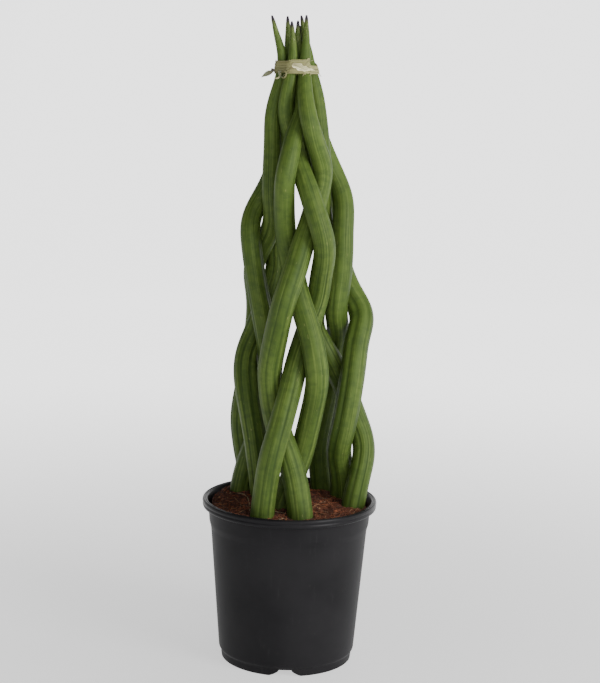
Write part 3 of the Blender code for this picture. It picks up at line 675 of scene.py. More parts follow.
def leaf_skin(name, channel_angle, line, width, seed):
    """A leaf's skin on a grid of length and angle.

    radius = R (1 - flutes - channel + swelling + lumps), where the flutes are narrow
    grooves 0.5 - 0.5 cos(8 a) raised to 2.2 that wander a little round the leaf, and the
    channel is a bell in the angle. All fade out towards the dry spine.
    """
    share = np.concatenate([np.linspace(0.0, TIP_START, LEAF_RINGS - TIP_RINGS),
                            np.linspace(TIP_START, 1.0, TIP_RINGS + 1)[1:]])
    along = np.linspace(0.0, 1.0, len(line))
    heights = np.interp(share, along, line[:, 2])
    soften = smoothing(heights, 3.0)
    places = np.stack([np.interp(share, along, line[:, i]) for i in (0, 1)], axis=1)
    places = places + (soften @ places - places) * np.clip((1.0 - share) * 40, 0, 1)[:, None]
    centre = np.column_stack([places, heights])
    radius = np.interp(share, along, width)
    tip = centre[-1] + (centre[-1] - centre[-2]) / (heights[-1] - heights[-2]) * SPINE_LENGTH
    spine = np.linspace(0.0, 1.0, SPINE_RINGS + 1)[1:, None]
    centre = np.vstack([centre, centre[-1] + (tip - centre[-1]) * spine])
    radius = np.append(radius, SPINE_RADIUS * (1.0 - 0.5 * spine[:, 0] ** 1.5))
    share = np.append(share, np.ones(len(spine)))
    length = np.append(0.0, np.cumsum(np.linalg.norm(np.diff(centre, axis=0), axis=1)))
    angle = np.arange(LEAF_SIDES) * 2.0 * math.pi / LEAF_SIDES
    wander = FLUTE_WANDER * waves(length / 60.0, seed, 0.5, 1.4)[:, None]
    turned_by = angle[None, :] + wander
    flute = (0.5 - 0.5 * np.cos(LEAF_FLUTES * turned_by)) ** FLUTE_POWER
    strength = np.clip(0.75 + 0.35 * waves(turned_by + seed, seed + 50, 1.0, 3.0), 0.2, 1.3)
    turn = np.angle(np.exp(1j * (angle[None, :] - math.radians(channel_angle))))
    channel = np.exp(-(turn / CHANNEL_WIDTH) ** 2)
    fade = (1.0 - share ** 3)[:, None]
    slow = SWELLING * waves(length / 30.0, seed + 9, 0.6, 2.4)[:, None]
    lumpy = LUMPS * waves(length[:, None] / 9.0 + 2.0 * np.cos(angle - seed), seed + 17, 0.5, 2.0)
    carved = FLUTE_DEPTH * flute * strength + CHANNEL_DEPTH * channel
    shape = 1.0 + (slow + lumpy - carved) * fade - SKIN_INSET
    ahead = np.gradient(centre, axis=0)
    ahead /= np.linalg.norm(ahead, axis=1, keepdims=True)
    right = np.array([1.0, 0.0, 0.0]) - ahead[:, :1] * ahead
    right /= np.linalg.norm(right, axis=1, keepdims=True)
    back = np.cross(ahead, right)
    around = (np.cos(angle)[None, :, None] * right[:, None]
              + np.sin(angle)[None, :, None] * back[:, None])
    skin = centre[:, None] + around * (shape * radius[:, None])[:, :, None]
    rows = len(centre)
    ends = np.stack([centre[0], centre[-1] + 0.3 * ahead[-1]])
    points = np.concatenate([skin.reshape(-1, 3), ends])
    piece = mesh_piece(name, points, capped(rows, LEAF_SIDES))
    straight = np.stack([
        np.broadcast_to(GRAIN_RADIUS * np.cos(angle), (rows, LEAF_SIDES)),
        np.broadcast_to(GRAIN_RADIUS * np.sin(angle), (rows, LEAF_SIDES)),
        np.broadcast_to(length[:, None], (rows, LEAF_SIDES))], axis=-1).reshape(-1, 3) * MM
    straight = np.vstack([straight, (0, 0, length[0] * MM), (0, 0, length[-1] * MM)])
    straight += np.array([0.11, 0.07, 0.9]) * seed
    add_values(piece, "straight", straight)
    # How deep the flutes and channel are carved; the finish darkens the skin by it, partly as
    # painted shade.
    groove = np.clip(flute ** 1.5 * strength + 0.40 * channel, 0.0, 1.0) * fade
    add_values(piece, "groove", np.append(groove, [0.0, 0.0]))
    left = np.repeat(length[-1] - length, LEAF_SIDES)
    add_values(piece, "to_tip", np.append(left, [length[-1], 0.0]) * MM)
    return piece


def leaf_finish():
    """Waxy olive skin: long dark grooves, partly the leaf's own lines and partly
    painted shade in the carved grooves and channel; pale streaks along the leaf, partly
    a painted highlight; faint cross bands of grey green, a few pale scars, and a dry dark
    tip with pale flecks under it."""
    material, wire, shader = new_finish("leaf_skin")
    straight = wire.node("ShaderNodeAttribute", {"attribute_name": "straight"}, output=1)
    groove = wire.node("ShaderNodeAttribute", {"attribute_name": "groove"}, output=2)
    to_tip = wire.node("ShaderNodeAttribute", {"attribute_name": "to_tip"}, output=2)
    patch = straight.stretched(60.0, 60.0, 16.0).grain(1.0, 3.0, 0.6)
    streak = straight.stretched(620.0, 620.0, 8.0).grain(1.0, 3.0, 0.6)
    hair = straight.stretched(2200.0, 2200.0, 60.0).grain(1.0, 2.0, 0.6)
    band = straight.stretched(95.0, 95.0, 165.0).grain(1.0, 4.0, 0.65).step(0.40, 0.68)
    scar = straight.stretched(500.0, 500.0, 150.0).grain(1.0, 2.0, 0.5).step(0.715, 0.745)
    fleck = straight.stretched(900.0, 900.0, 600.0).grain(1.0, 1.0, 0.5).step(0.60, 0.66)
    green = patch.step(0.32, 0.68).mix(LEAF_DARK, LEAF_LIGHT)
    # Pale streaks along the leaf: partly the leaf's own streaks and partly a painted highlight
    # along its ridges.
    green = (0.58 * streak.step(0.46, 0.68)).mix(green, LEAF_STREAK_AND_HIGHLIGHT)
    green = (0.42 * band).mix(green, LEAF_BAND)
    lines = (groove + 0.70 * (0.5 - streak)).step(0.25, 1.00)
    # Dark lines where the flutes and channel are carved: partly the leaf's own lines and partly
    # painted shade in these recesses.
    green = (0.68 * lines).mix(green, LEAF_GROOVE_AND_SHADE)
    green = (0.3 * scar).mix(green, LEAF_SCAR)
    wobble = to_tip + 0.004 * (patch - 0.5)
    dotted = (wobble.step(0.005, 0.009) - wobble.step(0.014, 0.028)) * fleck
    green = (0.8 * dotted).mix(green, TIP_FLECK)
    dry = 1.0 - wobble.step(0.0032, 0.0078)
    pale = 1.0 - wobble.step(0.006, 0.010)
    green = (0.35 * pale).mix(green, TIP_PALE)
    plug(dry.mix(green, TIP_DRY), shader, "Base Color")
    plug(0.50 + 0.12 * patch + 0.10 * lines + 0.20 * dry, shader, "Roughness")
    height = 0.6 * streak + 0.25 * hair - 0.8 * lines + 0.15 * band
    relief = wire.node("ShaderNodeBump", {}, {"Strength": 0.35, "Distance": 0.0004,
                                              "Height": height})
    plug(relief, shader, "Normal")
    shader.inputs["Specular IOR Level"].default_value = 0.12
    return material


leaf_material = leaf_finish()
for number, (leaf_name, _, channel, _) in enumerate(LEAVES):
    leaf = leaf_skin(leaf_name + "_skin", channel, leaf_lines[number], leaf_widths[number],
                     number + 1)
    leaf.data.materials.append(leaf_material)
    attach(leaf, "root")
    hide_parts(leaf_name)


# Potting mix
# Coir and peat, dry on top: a low dome banked up at each leaf, with coarse fibres lying
# every way over it, orange and brown chips between them and one pale old root.

SOIL_EDGE_HEIGHT = 152.5
SOIL_DOME = 4.5
SOIL_BANK = 3.0
SOIL_BANK_REACH = 16.0
SOIL_EDGE = 76.2
SOIL_RINGS = 150
SOIL_TURN = 360
SCATTER_RADIUS = 75.0
SCATTER_LIMIT = 76.0
FIBRE_COUNT = 3600
CHIP_COUNT = 3600
PEAT_DARK = (0.016, 0.0055, 0.0035)
COIR_BROWN = (0.095, 0.029, 0.013)
COIR_RUST = (0.170, 0.055, 0.024)
COIR_ORANGE = (0.230, 0.085, 0.030)
WORN_BROWN = (0.07, 0.03, 0.018)
FIBRE_TINTS = [
    (0.0, (0.020, 0.006, 0.003)), (0.45, (0.105, 0.029, 0.012)), (0.78, (0.235, 0.068, 0.025)),
    (0.94, (0.270, 0.095, 0.034)), (0.985, (0.30, 0.18, 0.09)), (1.0, (0.36, 0.31, 0.19))]

at_soil = np.argmin(np.abs(leaf_lines[0, :, 2] - SOIL_EDGE_HEIGHT))
feet = leaf_lines[:, at_soil, :2]
foot_radii = leaf_widths[:, at_soil]


def clear_of_leaves(right, back):
    """Distance from the nearest leaf's skin at the soil, less than 0 inside a leaf."""
    apart = np.hypot(right[..., None] - feet[:, 0], back[..., None] - feet[:, 1])
    return (apart - foot_radii).min(axis=-1)


def crumble(right, back, size, seed):
    """A rough field of that grain size: the mean of twelve crossing waves."""
    chance = np.random.default_rng(seed)
    heading = chance.uniform(0.0, math.pi, 12)
    rate = 2.0 * math.pi / (size * chance.uniform(0.7, 1.5, 12))
    phase = chance.uniform(0.0, 2.0 * math.pi, 12)
    run = (right[..., None] * np.cos(heading) + back[..., None] * np.sin(heading)) * rate
    return np.sin(run + phase).sum(axis=-1) / math.sqrt(12.0)


def soil_height(right, back):
    """Height of the soil: a dome that leans up to the back left, a bell-shaped bank round
    each leaf, and crumbs of three sizes."""
    out = (right ** 2 + back ** 2) / COLLAR_RADIUS ** 2
    height = SOIL_EDGE_HEIGHT + SOIL_DOME * (1.0 - out) + 0.035 * back - 0.025 * right
    height = height + 0.7 * np.sin(right / 7.0 + 1.0) * np.sin(back / 8.0)
    height = height + 1.6 * np.clip(-right / 70.0, 0.0, 1.0) ** 2
    apart = np.hypot(right[..., None] - feet[:, 0], back[..., None] - feet[:, 1]).min(axis=-1)
    height = height + SOIL_BANK * np.exp(-(apart / SOIL_BANK_REACH) ** 2)
    rough = 0.55 * crumble(right, back, 9.0, 3) + 0.42 * crumble(right, back, 4.0, 4)
    rough = rough + 0.22 * np.abs(crumble(right, back, 2.0, 5))
    rough = rough + 0.12 * crumble(right, back, 1.2, 6)
    edge = 1.0 - np.clip((np.sqrt(out) * COLLAR_RADIUS - 71.0) / 6.0, 0.0, 1.0)
    return height + rough * (0.35 + 0.65 * edge) - 1.5 * (1.0 - edge) ** 2


def soil_bed():
    """The bed on a polar grid: its top from the middle to the wall, then straight down
    beside the wall and back to the middle under it. It sinks inside each leaf."""
    radius = np.linspace(0.0, 1.0, SOIL_RINGS) ** 0.8 * SOIL_EDGE
    angle = np.arange(SOIL_TURN) * 2.0 * math.pi / SOIL_TURN
    right = radius[:, None] * np.cos(angle)
    back = radius[:, None] * np.sin(angle)
    inside = np.clip((-0.6 - clear_of_leaves(right, back)) / 1.2, 0.0, 1.0)
    top = np.stack([right, back, soil_height(right, back) - 6.0 * inside], axis=-1)
    low = [(inner_wall_radius(COLLAR_BOTTOM) - 0.4, COLLAR_BOTTOM),
           (inner_wall_radius(WALL_TOP) - 0.4, WALL_TOP),
           (inner_wall_radius(POT_FLOOR) - 0.6, POT_FLOOR + 2.8),
           (inner_wall_radius(POT_FLOOR) - 2.2, POT_FLOOR + 0.4),
           (0.001, POT_FLOOR + 0.4)]
    under = np.stack([np.stack([r * np.cos(angle), r * np.sin(angle), np.full(SOIL_TURN, h)],
                               axis=-1) for r, h in low])
    rings = np.concatenate([top, under])
    piece = mesh_piece("soil_bed", rings, grid_quads(len(rings), SOIL_TURN, True)[:, ::-1])
    return sealed(piece, 0.002 * MM)


def strands(name, lines, thickness, tint, sides=3):
    """Many thin tubes at once: lines is strand by point by place, and each point gets a
    ring of that many sides, thinner towards both ends."""
    count, points = lines.shape[:2]
    ahead = np.gradient(lines, axis=1)
    ahead /= np.linalg.norm(ahead, axis=2, keepdims=True)
    side = np.cross(ahead, np.array([0.13, 0.21, 0.97]))
    side /= np.linalg.norm(side, axis=2, keepdims=True)
    lift = np.cross(ahead, side)
    angle = np.arange(sides) * 2.0 * math.pi / sides
    taper = 0.35 + 0.65 * np.sin(np.linspace(0.12, math.pi - 0.12, points))
    ring = (np.cos(angle)[:, None] * side[:, :, None] + np.sin(angle)[:, None] * lift[:, :, None])
    places = lines[:, :, None] + ring * (thickness[:, None] * taper)[:, :, None, None]
    quads = grid_quads(points, sides, True)
    start = np.arange(count)[:, None, None] * points * sides
    faces = (quads[None] + start).reshape(-1, 4)
    faces = np.concatenate([faces[:, [0, 1, 2]], faces[:, [0, 2, 3]]])
    fan = np.stack([np.zeros(sides - 2, int), np.arange(2, sides), np.arange(1, sides - 1)], 1)
    caps = np.concatenate([fan, fan[:, ::-1] + (points - 1) * sides])
    faces = np.concatenate([faces, (caps[None] + start).reshape(-1, 3)])
    piece = mesh_piece(name, places, faces)
    add_values(piece, "tint", np.repeat(tint, points * sides))
    return piece


def coir_fibres(count, seed):
    """Bent fibres lying on the soil. Each runs along x = l (t - 1/2), y = bend (t (t - 1)
    + 0.12) plus a small wave, turned to a random heading, and arches up between its ends."""
    chance = np.random.default_rng(seed)
    reach = SCATTER_RADIUS * np.sqrt(chance.uniform(0.0, 1.0, count))
    where = chance.uniform(0.0, 2.0 * math.pi, count)
    heading = chance.uniform(0.0, 2.0 * math.pi, count)
    length = chance.uniform(5.0, 20.0, count)
    bend = chance.normal(0.0, 6.0, count)
    t = np.linspace(0.0, 1.0, 8)
    x = length[:, None] * (t - 0.5)
    y = bend[:, None] * (t * (t - 1.0) + 0.12) + 0.5 * np.sin(9.0 * t + heading[:, None])
    c, s = np.cos(heading)[:, None], np.sin(heading)[:, None]
    right = (reach * np.cos(where))[:, None] + x * c - y * s
    back = (reach * np.sin(where))[:, None] + x * s + y * c
    arch = np.abs(chance.normal(0.0, 1.1, count))
    lift = chance.uniform(0.0, 0.7, count)
    height = soil_height(right, back) + 0.2 + lift[:, None] + arch[:, None] * np.sin(math.pi * t)
    keep = ((clear_of_leaves(right, back).min(axis=1) > 0.5)
            & (np.hypot(right, back).max(axis=1) < SCATTER_LIMIT))
    lines = np.stack([right, back, height], axis=-1)[keep]
    thickness = chance.uniform(0.12, 0.34, count)[keep]
    return strands("coir_fibres", lines, thickness, chance.uniform(0.0, 1.0, count)[keep])


def chips(count, seed):
    """Crumbs and bark chips: eight-sided grains with their six corners at random lengths
    along the axes, squashed, leaned and turned every way on the soil."""
    chance = np.random.default_rng(seed)
    reach = SCATTER_RADIUS * np.sqrt(chance.uniform(0.0, 1.0, count))
    where = chance.uniform(0.0, 2.0 * math.pi, count)
    right, back = reach * np.cos(where), reach * np.sin(where)
    size = chance.gamma(2.0, 0.30, count) + 0.28
    keep = (clear_of_leaves(right, back) > size) & (reach + size < SCATTER_LIMIT)
    right, back, size = right[keep], back[keep], size[keep]
    grain = np.array([(1, 0, 0), (0, 1, 0), (-1, 0, 0), (0, -1, 0), (0, 0, 1), (0, 0, -1)], float)
    wonky = grain[None] * chance.uniform(0.55, 1.25, (len(size), 6, 1)) * np.array([1.3, 0.9, 0.6])
    spin = chance.uniform(0.0, 2.0 * math.pi, len(size))
    c, s = np.cos(spin)[:, None], np.sin(spin)[:, None]
    x = wonky[:, :, 0] * c - wonky[:, :, 1] * s
    y = wonky[:, :, 0] * s + wonky[:, :, 1] * c
    z = wonky[:, :, 2] + 0.4 * x * chance.normal(0.0, 1.0, len(size))[:, None]
    places = np.stack([x, y, z], axis=-1) * size[:, None, None]
    places += np.stack([right, back, soil_height(right, back) + 0.25 * size], -1)[:, None]
    faces = np.array([(0, 1, 4), (1, 2, 4), (2, 3, 4), (3, 0, 4),
                      (1, 0, 5), (2, 1, 5), (3, 2, 5), (0, 3, 5)])
    faces = (faces[None] + np.arange(len(size))[:, None, None] * 6).reshape(-1, 3)
    piece = mesh_piece("bark_chips", places, faces, 25.0)
    add_values(piece, "tint", np.repeat(chance.uniform(0.0, 1.0, len(size)), 6))
    return piece


def old_root():
    """One pale dry root that arches over the pot's left edge of soil: a smooth line through
    a few points, by repeated averaging."""
    knots = np.array([(-56, 15, 157.5), (-50, 11, 160.5), (-43, 4, 160.0), (-39.5, -8, 158.5),
                      (-38.8, -22, 157.0), (-38.5, -36, 155.5), (-37.5, -46, 153.5)], float)
    t = np.linspace(0, len(knots) - 1, 60)
    line = np.stack([np.interp(t, np.arange(len(knots)), knots[:, i]) for i in range(3)], 1)
    spread = smoothing(np.arange(60.0), 4.0)
    line = spread @ line
    line[:, 2] = np.maximum(line[:, 2], soil_height(line[:, 0], line[:, 1]) + 0.4)
    return strands("old_root", line[None], np.array([0.45]), np.array([1.6]), 8)


def soil_finish():
    """Dark peat to red-brown coir by noise of three sizes, with orange specks."""
    material, wire, shader = new_finish("coir_and_peat")
    place = wire.node("ShaderNodeTexCoord", output=3)
    clump = place.grain(120.0, 4.0, 0.65)
    crumb = place.grain(700.0, 3.0, 0.7)
    speck = place.grain(420.0, 2.0, 0.5).step(0.66, 0.72)
    shade = clump.step(0.30, 0.72).mix(PEAT_DARK, COIR_BROWN)
    shade = (0.6 * crumb.step(0.45, 0.70)).mix(shade, COIR_RUST)
    shade = speck.mix(shade, COIR_ORANGE)
    plug(shade, shader, "Base Color")
    shader.inputs["Roughness"].default_value = 0.95
    relief = wire.node("ShaderNodeBump", {}, {"Strength": 0.9, "Distance": 0.0012,
                                              "Height": clump + 0.5 * crumb})
    plug(relief, shader, "Normal")
    return material


def fibre_finish():
    """Each fibre or chip has a tint of its own, from dark brown by rust to straw."""
    material, wire, shader = new_finish("coir_fibre")
    tint = wire.node("ShaderNodeAttribute", {"attribute_name": "tint"}, output=2)
    place = wire.node("ShaderNodeTexCoord", output=3)
    shade = wire.node("ShaderNodeValToRGB", {"stops": FIBRE_TINTS}, {0: tint})
    worn = place.grain(900.0, 2.0).step(0.40, 0.75)
    plug((0.35 * worn).mix(shade, WORN_BROWN), shader, "Base Color")
    shader.inputs["Roughness"].default_value = 0.85
    return material


bed = soil_bed()
bed.data.materials.append(soil_finish())
fibre_material = fibre_finish()
fibres = coir_fibres(FIBRE_COUNT, 11)
crumbs = chips(CHIP_COUNT, 12)
root_thread = old_root()
for piece in (fibres, crumbs, root_thread):
    piece.data.materials.append(fibre_material)
for piece in (bed, fibres, crumbs, root_thread):
    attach(piece, "root")
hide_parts("soil")


# Raffia tie
# A flat strip of dried palm leaf wrapped round all nine leaves just under their tips. Its
# end is lapped over the front, and it is knotted on the left with a loose tail.

TIE_BOTTOM = 570.4
TIE_TOP = 581.4
TIE_DIP = 3.4
TIE_THICKNESS = 1.0
TIE_GAP = 0.45
LAP_ANGLES = (-205.0, -52.0)
LAP_BOTTOM = (571.0, 578.2)
LAP_TOP = (580.8, 584.6)
KNOT_ANGLE = -172.0
KNOT_HEIGHT = 572.6
TAIL_LENGTH = 13.0
TAIL_HALF_WIDTH = 2.0
TAIL_DROP = 28.0
STRIP_ROWS = 28
FRAY_COUNT = 30
TWIST_LEFT = -7.6
TWIST_LENGTH = 21.0
TWIST_TOP = 577.4
TWIST_DROP = 4.4
# Each curl: how far right and back it starts, how far it hangs and how far it swings.
CURLS = ((-20.5, -11.5, 6.5, 2.4), (-17.5, -15.5, 4.5, -2.0), (-14.5, -19.5, 5.5, 1.8))
RAFFIA_HAIR = (0.42, 0.40, 0.24)
RAFFIA_STAIN = (0.10, 0.07, 0.03)


def drawn_tight(angle, height, clear):
    """Points of a strip drawn tight round the leaves, for arrays of angle and height.

    Each leaf is a row of balls. In each direction the ball that reaches furthest holds
    the strip: place + reach x direction, where reach^2 = radius^2 - (level - height)^2.
    """
    out = np.stack([np.cos(angle), np.sin(angle)], axis=-1)
    step = np.linspace(-6.0, 6.0, 13)
    levels = height[..., None] + step
    best = np.full(angle.shape, -np.inf)
    held = np.zeros(angle.shape + (2,))
    for line, width in zip(leaf_lines, leaf_widths):
        ball = np.interp(levels, line[:, 2], width)
        reach = np.sqrt(np.clip(ball ** 2 - step ** 2, 0.0, None)) + clear
        place = np.stack([np.interp(levels, line[:, 2], line[:, i]) for i in (0, 1)], axis=-1)
        place = place + reach[..., None] * out[..., None, :]
        support = (place * out[..., None, :]).sum(axis=-1)
        widest = support.argmax(axis=-1)
        far = np.take_along_axis(support, widest[..., None], axis=-1)[..., 0]
        spot = np.take_along_axis(place, widest[..., None, None], axis=-2)[..., 0, :]
        better = far > best
        best = np.where(better, far, best)
        held = np.where(better[..., None], spot, held)
    return held


def raffia_strip(name, angles, bottom, top, clear, thick, seed, closed):
    """A strip on a grid of angle and width, with an outer and an inner skin.

    The inner skin is drawn tight round the leaves. The outer one stands off it by a
    thickness that falls towards both edges, plus long folds, sin(21 s + sin 2a) and
    sin(43 s + sin 3a) across the width s, plus fine creases along it. The edges wander.
    """
    share = np.linspace(0.0, 1.0, STRIP_ROWS)
    count = len(angles)
    loop_size = 2 * STRIP_ROWS
    if closed:
        ragged = 0.38 * np.sin(5 * angles + seed) + 0.25 * np.sin(13 * angles)
        ragged_top = 0.38 * np.sin(4 * angles - seed) + 0.25 * np.sin(17 * angles)
    else:
        ragged = 0.28 * waves(angles * 6.0, seed, 0.6, 3.0)
        ragged_top = 0.28 * waves(angles * 6.0, seed + 1, 0.6, 3.0)
    height = (bottom + ragged) + ((top + ragged_top) - (bottom + ragged)) * share[:, None]
    angle = np.broadcast_to(angles, height.shape)
    tight = drawn_tight(angle, height, clear)
    fold = 0.30 * np.sin(share[:, None] * 21.0 + 1.6 * np.sin(2 * angle + seed)) \
        + 0.20 * np.sin(share[:, None] * 43.0 + 2.1 * np.sin(3 * angle + 2 * seed))
    crease = 0.5 * np.sin(11 * angle + 4.0 * share[:, None]) \
        + 0.5 * np.sin(23 * angle - 7.0 * share[:, None] + seed)
    swell = thick * (0.30 + 0.70 * np.sin(math.pi * np.clip(share, 0.03, 0.97)) ** 0.35)
    out = np.stack([np.cos(angle), np.sin(angle)], axis=-1)
    outer = tight + out * (swell[:, None] + (0.75 * fold + 0.13 * crease) * thick)[..., None]
    skins = [np.concatenate([skin, height[..., None]], axis=-1) for skin in (outer, tight)]
    ring = np.concatenate([skins[0], skins[1][::-1]]).transpose(1, 0, 2)
    places = ring.reshape(-1, 3)
    strip_place = np.stack([np.repeat(14.0 * angles, loop_size),
                            np.tile(12.0 * np.append(share, share[::-1]), count),
                            np.tile(np.repeat([1.0, 0.0], STRIP_ROWS), count)], axis=-1)
    if closed:
        quads = grid_quads(count + 1, loop_size, True) % (count * loop_size)
        triangles = np.concatenate([quads[:, [0, 1, 2]], quads[:, [0, 2, 3]]])
    else:
        triangles = capped(count, loop_size)
        places = np.vstack([places, ring[0].mean(axis=0), ring[-1].mean(axis=0)])
        strip_place = np.vstack([strip_place, strip_place[:1], strip_place[-1:]])
    piece = sealed(mesh_piece(name, places, triangles, 60.0))
    add_values(piece, "strip", strip_place * MM + seed)
    return piece


def raffia_tube(name, line, width, thick, seed, sides=20, depth=0.10, pleats=5):
    """A rolled or folded end of raffia along a line, with an oval section width by thick
    whose edge is pleated: 1 + depth cos(pleats a), turned a little along the line."""
    ahead = np.gradient(line, axis=0)
    ahead /= np.linalg.norm(ahead, axis=1, keepdims=True)
    side = np.cross(ahead, np.array([0.0, 1.0, 0.05]))
    side /= np.linalg.norm(side, axis=1, keepdims=True)
    lift = np.cross(side, ahead)
    rows = len(line)
    angle = np.arange(sides) * 2.0 * math.pi / sides
    twisted = pleats * angle + seed + 1.5 * np.linspace(0.0, 1.0, rows)[:, None]
    pleat = 1.0 + depth * np.cos(twisted)
    ring = (side[:, None] * (width[:, None] * np.cos(angle) * pleat)[..., None]
            + lift[:, None] * (thick[:, None] * np.sin(angle) * pleat)[..., None])
    places = np.vstack([(line[:, None] + ring).reshape(-1, 3), line[0], line[-1]])
    piece = sealed(mesh_piece(name, places, capped(rows, sides)))
    length = np.append(0.0, np.cumsum(np.linalg.norm(np.diff(line, axis=0), axis=1)))
    strip_place = np.stack([np.repeat(length, sides), np.tile(4.0 * np.cos(angle), rows),
                            np.tile(4.0 * np.sin(angle), rows)], axis=-1)
    add_values(piece, "strip", np.vstack([strip_place, strip_place[:1], strip_place[-1:]]) * MM
               + seed)
    return piece


def raffia_finish(name, light, dark, painted_shade):
    """Dry fibre: fine lines and splits along the strip, a few brown stains, and painted
    shade: a darker, greener copy of the light colour on the left side of the bundle."""
    material, wire, shader = new_finish(name)
    strip = wire.node("ShaderNodeAttribute", {"attribute_name": "strip"}, output=1)
    line = strip.stretched(45.0, 900.0, 900.0).grain(1.0, 3.0, 0.6)
    hair = strip.stretched(120.0, 3200.0, 3200.0).grain(1.0, 2.0, 0.6)
    stain = strip.stretched(160.0, 220.0, 220.0).grain(1.0, 2.0).step(0.52, 0.74)
    place = wire.node("ShaderNodeTexCoord", output=3)
    across = wire.node("ShaderNodeSeparateXYZ", {}, {0: place})
    # Painted shade: left of about x = -13 mm the strip takes the darker colour, and right of -3 mm
    # the light one.
    light = (across + 0.008 * (line - 0.5)).step(-0.013, -0.003).mix(painted_shade, light)
    shade = line.step(0.34, 0.66).mix(dark, light)
    shade = (0.35 * hair.step(0.5, 0.75)).mix(shade, RAFFIA_HAIR)
    shade = (0.55 * stain).mix(shade, RAFFIA_STAIN)
    plug(shade, shader, "Base Color")
    plug(0.55 + 0.25 * line, shader, "Roughness")
    relief = wire.node("ShaderNodeBump", {}, {"Strength": 0.8, "Distance": 0.0006,
                                              "Height": line + 0.5 * hair})
    plug(relief, shader, "Normal")
    return material


def frayed_ends(count, seed):
    """Short stiff hairs that stand off the tie's edges and cut ends."""
    chance = np.random.default_rng(seed)
    angle = chance.uniform(-math.pi, 0.15 * math.pi, count)
    upper = chance.uniform(0.0, 1.0, count) < 0.5
    height = np.where(upper, TIE_TOP + 0.2, TIE_BOTTOM - 0.1)
    start = np.column_stack([drawn_tight(angle, height, 1.0), height])
    heading = np.column_stack([np.cos(angle), np.sin(angle), np.where(upper, 0.9, -0.8)])
    heading[:, :2] += 1.1 * np.column_stack([-np.sin(angle), np.cos(angle)]) \
        * chance.choice([-1.0, 1.0], count)[:, None]
    length = chance.uniform(1.0, 3.4, count)
    t = np.linspace(0.0, 1.0, 6)
    line = start[:, None] + heading[:, None] * (length[:, None] * t)[..., None] * 0.7
    line[:, :, 2] -= 0.9 * t ** 2
    return strands("raffia_frays", line, chance.uniform(0.10, 0.22, count),
                   np.full(count, 1.5))


turn = np.arange(300) * 2.0 * math.pi / 300
sway = 0.5 * np.sin(turn + 0.6)
dip = TIE_DIP * np.exp(2.5 * (np.cos(turn + math.radians(25.0)) - 1.0))
band = raffia_strip("raffia_band", turn, TIE_BOTTOM + sway, TIE_TOP + sway - dip, TIE_GAP,
                    TIE_THICKNESS, 1, True)

lap_angle = np.radians(np.linspace(LAP_ANGLES[0], LAP_ANGLES[1], 150))
lap_share = np.linspace(0.0, 1.0, 150) ** 2
lap = raffia_strip("raffia_lap", lap_angle,
                   LAP_BOTTOM[0] + (LAP_BOTTOM[1] - LAP_BOTTOM[0]) * lap_share,
                   LAP_TOP[0] + (LAP_TOP[1] - LAP_TOP[0]) * lap_share,
                   TIE_GAP + TIE_THICKNESS + 0.05, 0.8, 4, False)

# The knot is one and a bit turns of a small loop, and the tail a blade that narrows to
# both ends.
knot_angle = math.radians(KNOT_ANGLE)
spot = drawn_tight(np.array(knot_angle), np.array(KNOT_HEIGHT), TIE_GAP + TIE_THICKNESS + 1.0)
knot_place = np.array([spot[0], spot[1], KNOT_HEIGHT])
t = np.linspace(0.0, 1.0, 40)
loop = knot_place + np.stack([1.5 * np.cos(7.0 * t), -1.1 * np.sin(7.0 * t) - 0.3,
                              2.0 * (t - 0.5) + 1.1 * np.sin(5.0 * t)], axis=1)
knot = raffia_tube("raffia_knot", loop, 0.9 + 0.3 * np.sin(math.pi * t),
                   0.75 + 0.2 * np.sin(math.pi * t), 7.0)
drop = math.radians(TAIL_DROP)
tail_line = knot_place + np.stack([
    -TAIL_LENGTH * t * math.cos(drop), -0.8 * np.sin(3.0 * t),
    -TAIL_LENGTH * t * math.sin(drop) - 0.5 + 0.5 * np.sin(3.1 * t)], axis=1)
blade = TAIL_HALF_WIDTH * np.sin(math.pi * (t * 0.98 + 0.01) ** 0.85) ** 1.2
tail = raffia_tube("raffia_tail", tail_line, blade + 0.15, 0.32 + 0.08 * np.sin(9 * t), 8.0)

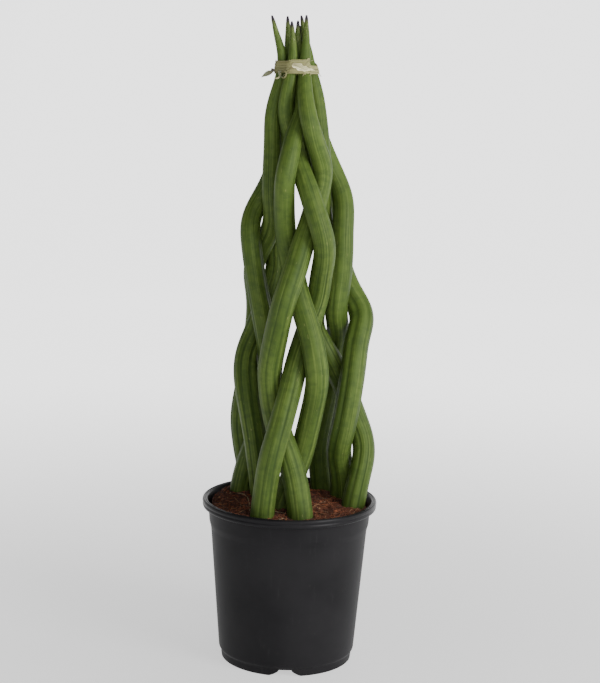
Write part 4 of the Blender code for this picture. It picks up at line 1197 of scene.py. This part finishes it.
# The twist is a folded scrap along the front, widest a third of the way from its left,
# and coloured as a painted highlight.
t = np.linspace(0.0, 1.0, 60)
front = drawn_tight(np.radians(np.linspace(-155.0, -20.0, 200)), np.full(200, TIE_HEIGHT),
                    TIE_GAP + TIE_THICKNESS + 0.6)
right = TWIST_LEFT + TWIST_LENGTH * t
bulge = (6.75 * t * (1.0 - t) ** 2) ** 0.7
twist_line = np.column_stack([right, np.interp(right, front[:, 0], front[:, 1]) - 0.5 * bulge,
                              TWIST_TOP - TWIST_DROP * t + 0.5 * np.sin(9.0 * t)])
twist = raffia_tube("raffia_twist", twist_line, 0.4 + (2.3 + 0.5 * np.sin(23.0 * t)) * bulge,
                    0.25 + 0.32 * bulge, 9.0, 72, 0.20, 11)

curls = []
for number, (right, back, drop, swing) in enumerate(CURLS):
    curl_line = np.column_stack([right + swing * np.sin(4.5 * t), back - 1.4 * np.sin(3.0 * t),
                                 TIE_BOTTOM + 0.8 - drop * t + 1.3 * np.sin(7.0 * t)])
    curls.append(raffia_tube("raffia_curl_%d" % (number + 1), curl_line,
                             1.05 - 0.45 * t, 0.28 - 0.05 * t, 10.0 + number, 10))

# The third colour of each finish is the painted shade for the left side of the bundle.
straw = raffia_finish("raffia_straw", (0.31, 0.30, 0.115), (0.10, 0.10, 0.030),
                      (0.130, 0.125, 0.040))
# A brighter copy of the straw finish: a painted highlight on the twist and the first curl.
painted_highlight_straw = raffia_finish("raffia_painted_highlight", (0.84, 0.80, 0.50), (0.20, 0.19, 0.07),
                       (0.62, 0.59, 0.32))
olive = raffia_finish("raffia_olive", (0.17, 0.17, 0.08), (0.045, 0.050, 0.022),
                      (0.13, 0.14, 0.07))
brown = raffia_finish("raffia_dark", (0.05, 0.035, 0.03), (0.015, 0.011, 0.012),
                      (0.04, 0.030, 0.028))
frays = frayed_ends(FRAY_COUNT, 21)
frays.data.materials.append(fibre_material)
for piece, finish in ((band, straw), (lap, straw), (twist, painted_highlight_straw), (tail, olive), (knot, brown),
                      (curls[0], painted_highlight_straw), (curls[1], olive), (curls[2], straw)):
    piece.data.materials.append(finish)
for piece in (band, lap, twist, tail, knot, frays, *curls):
    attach(piece, "root")
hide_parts("raffia_tie")
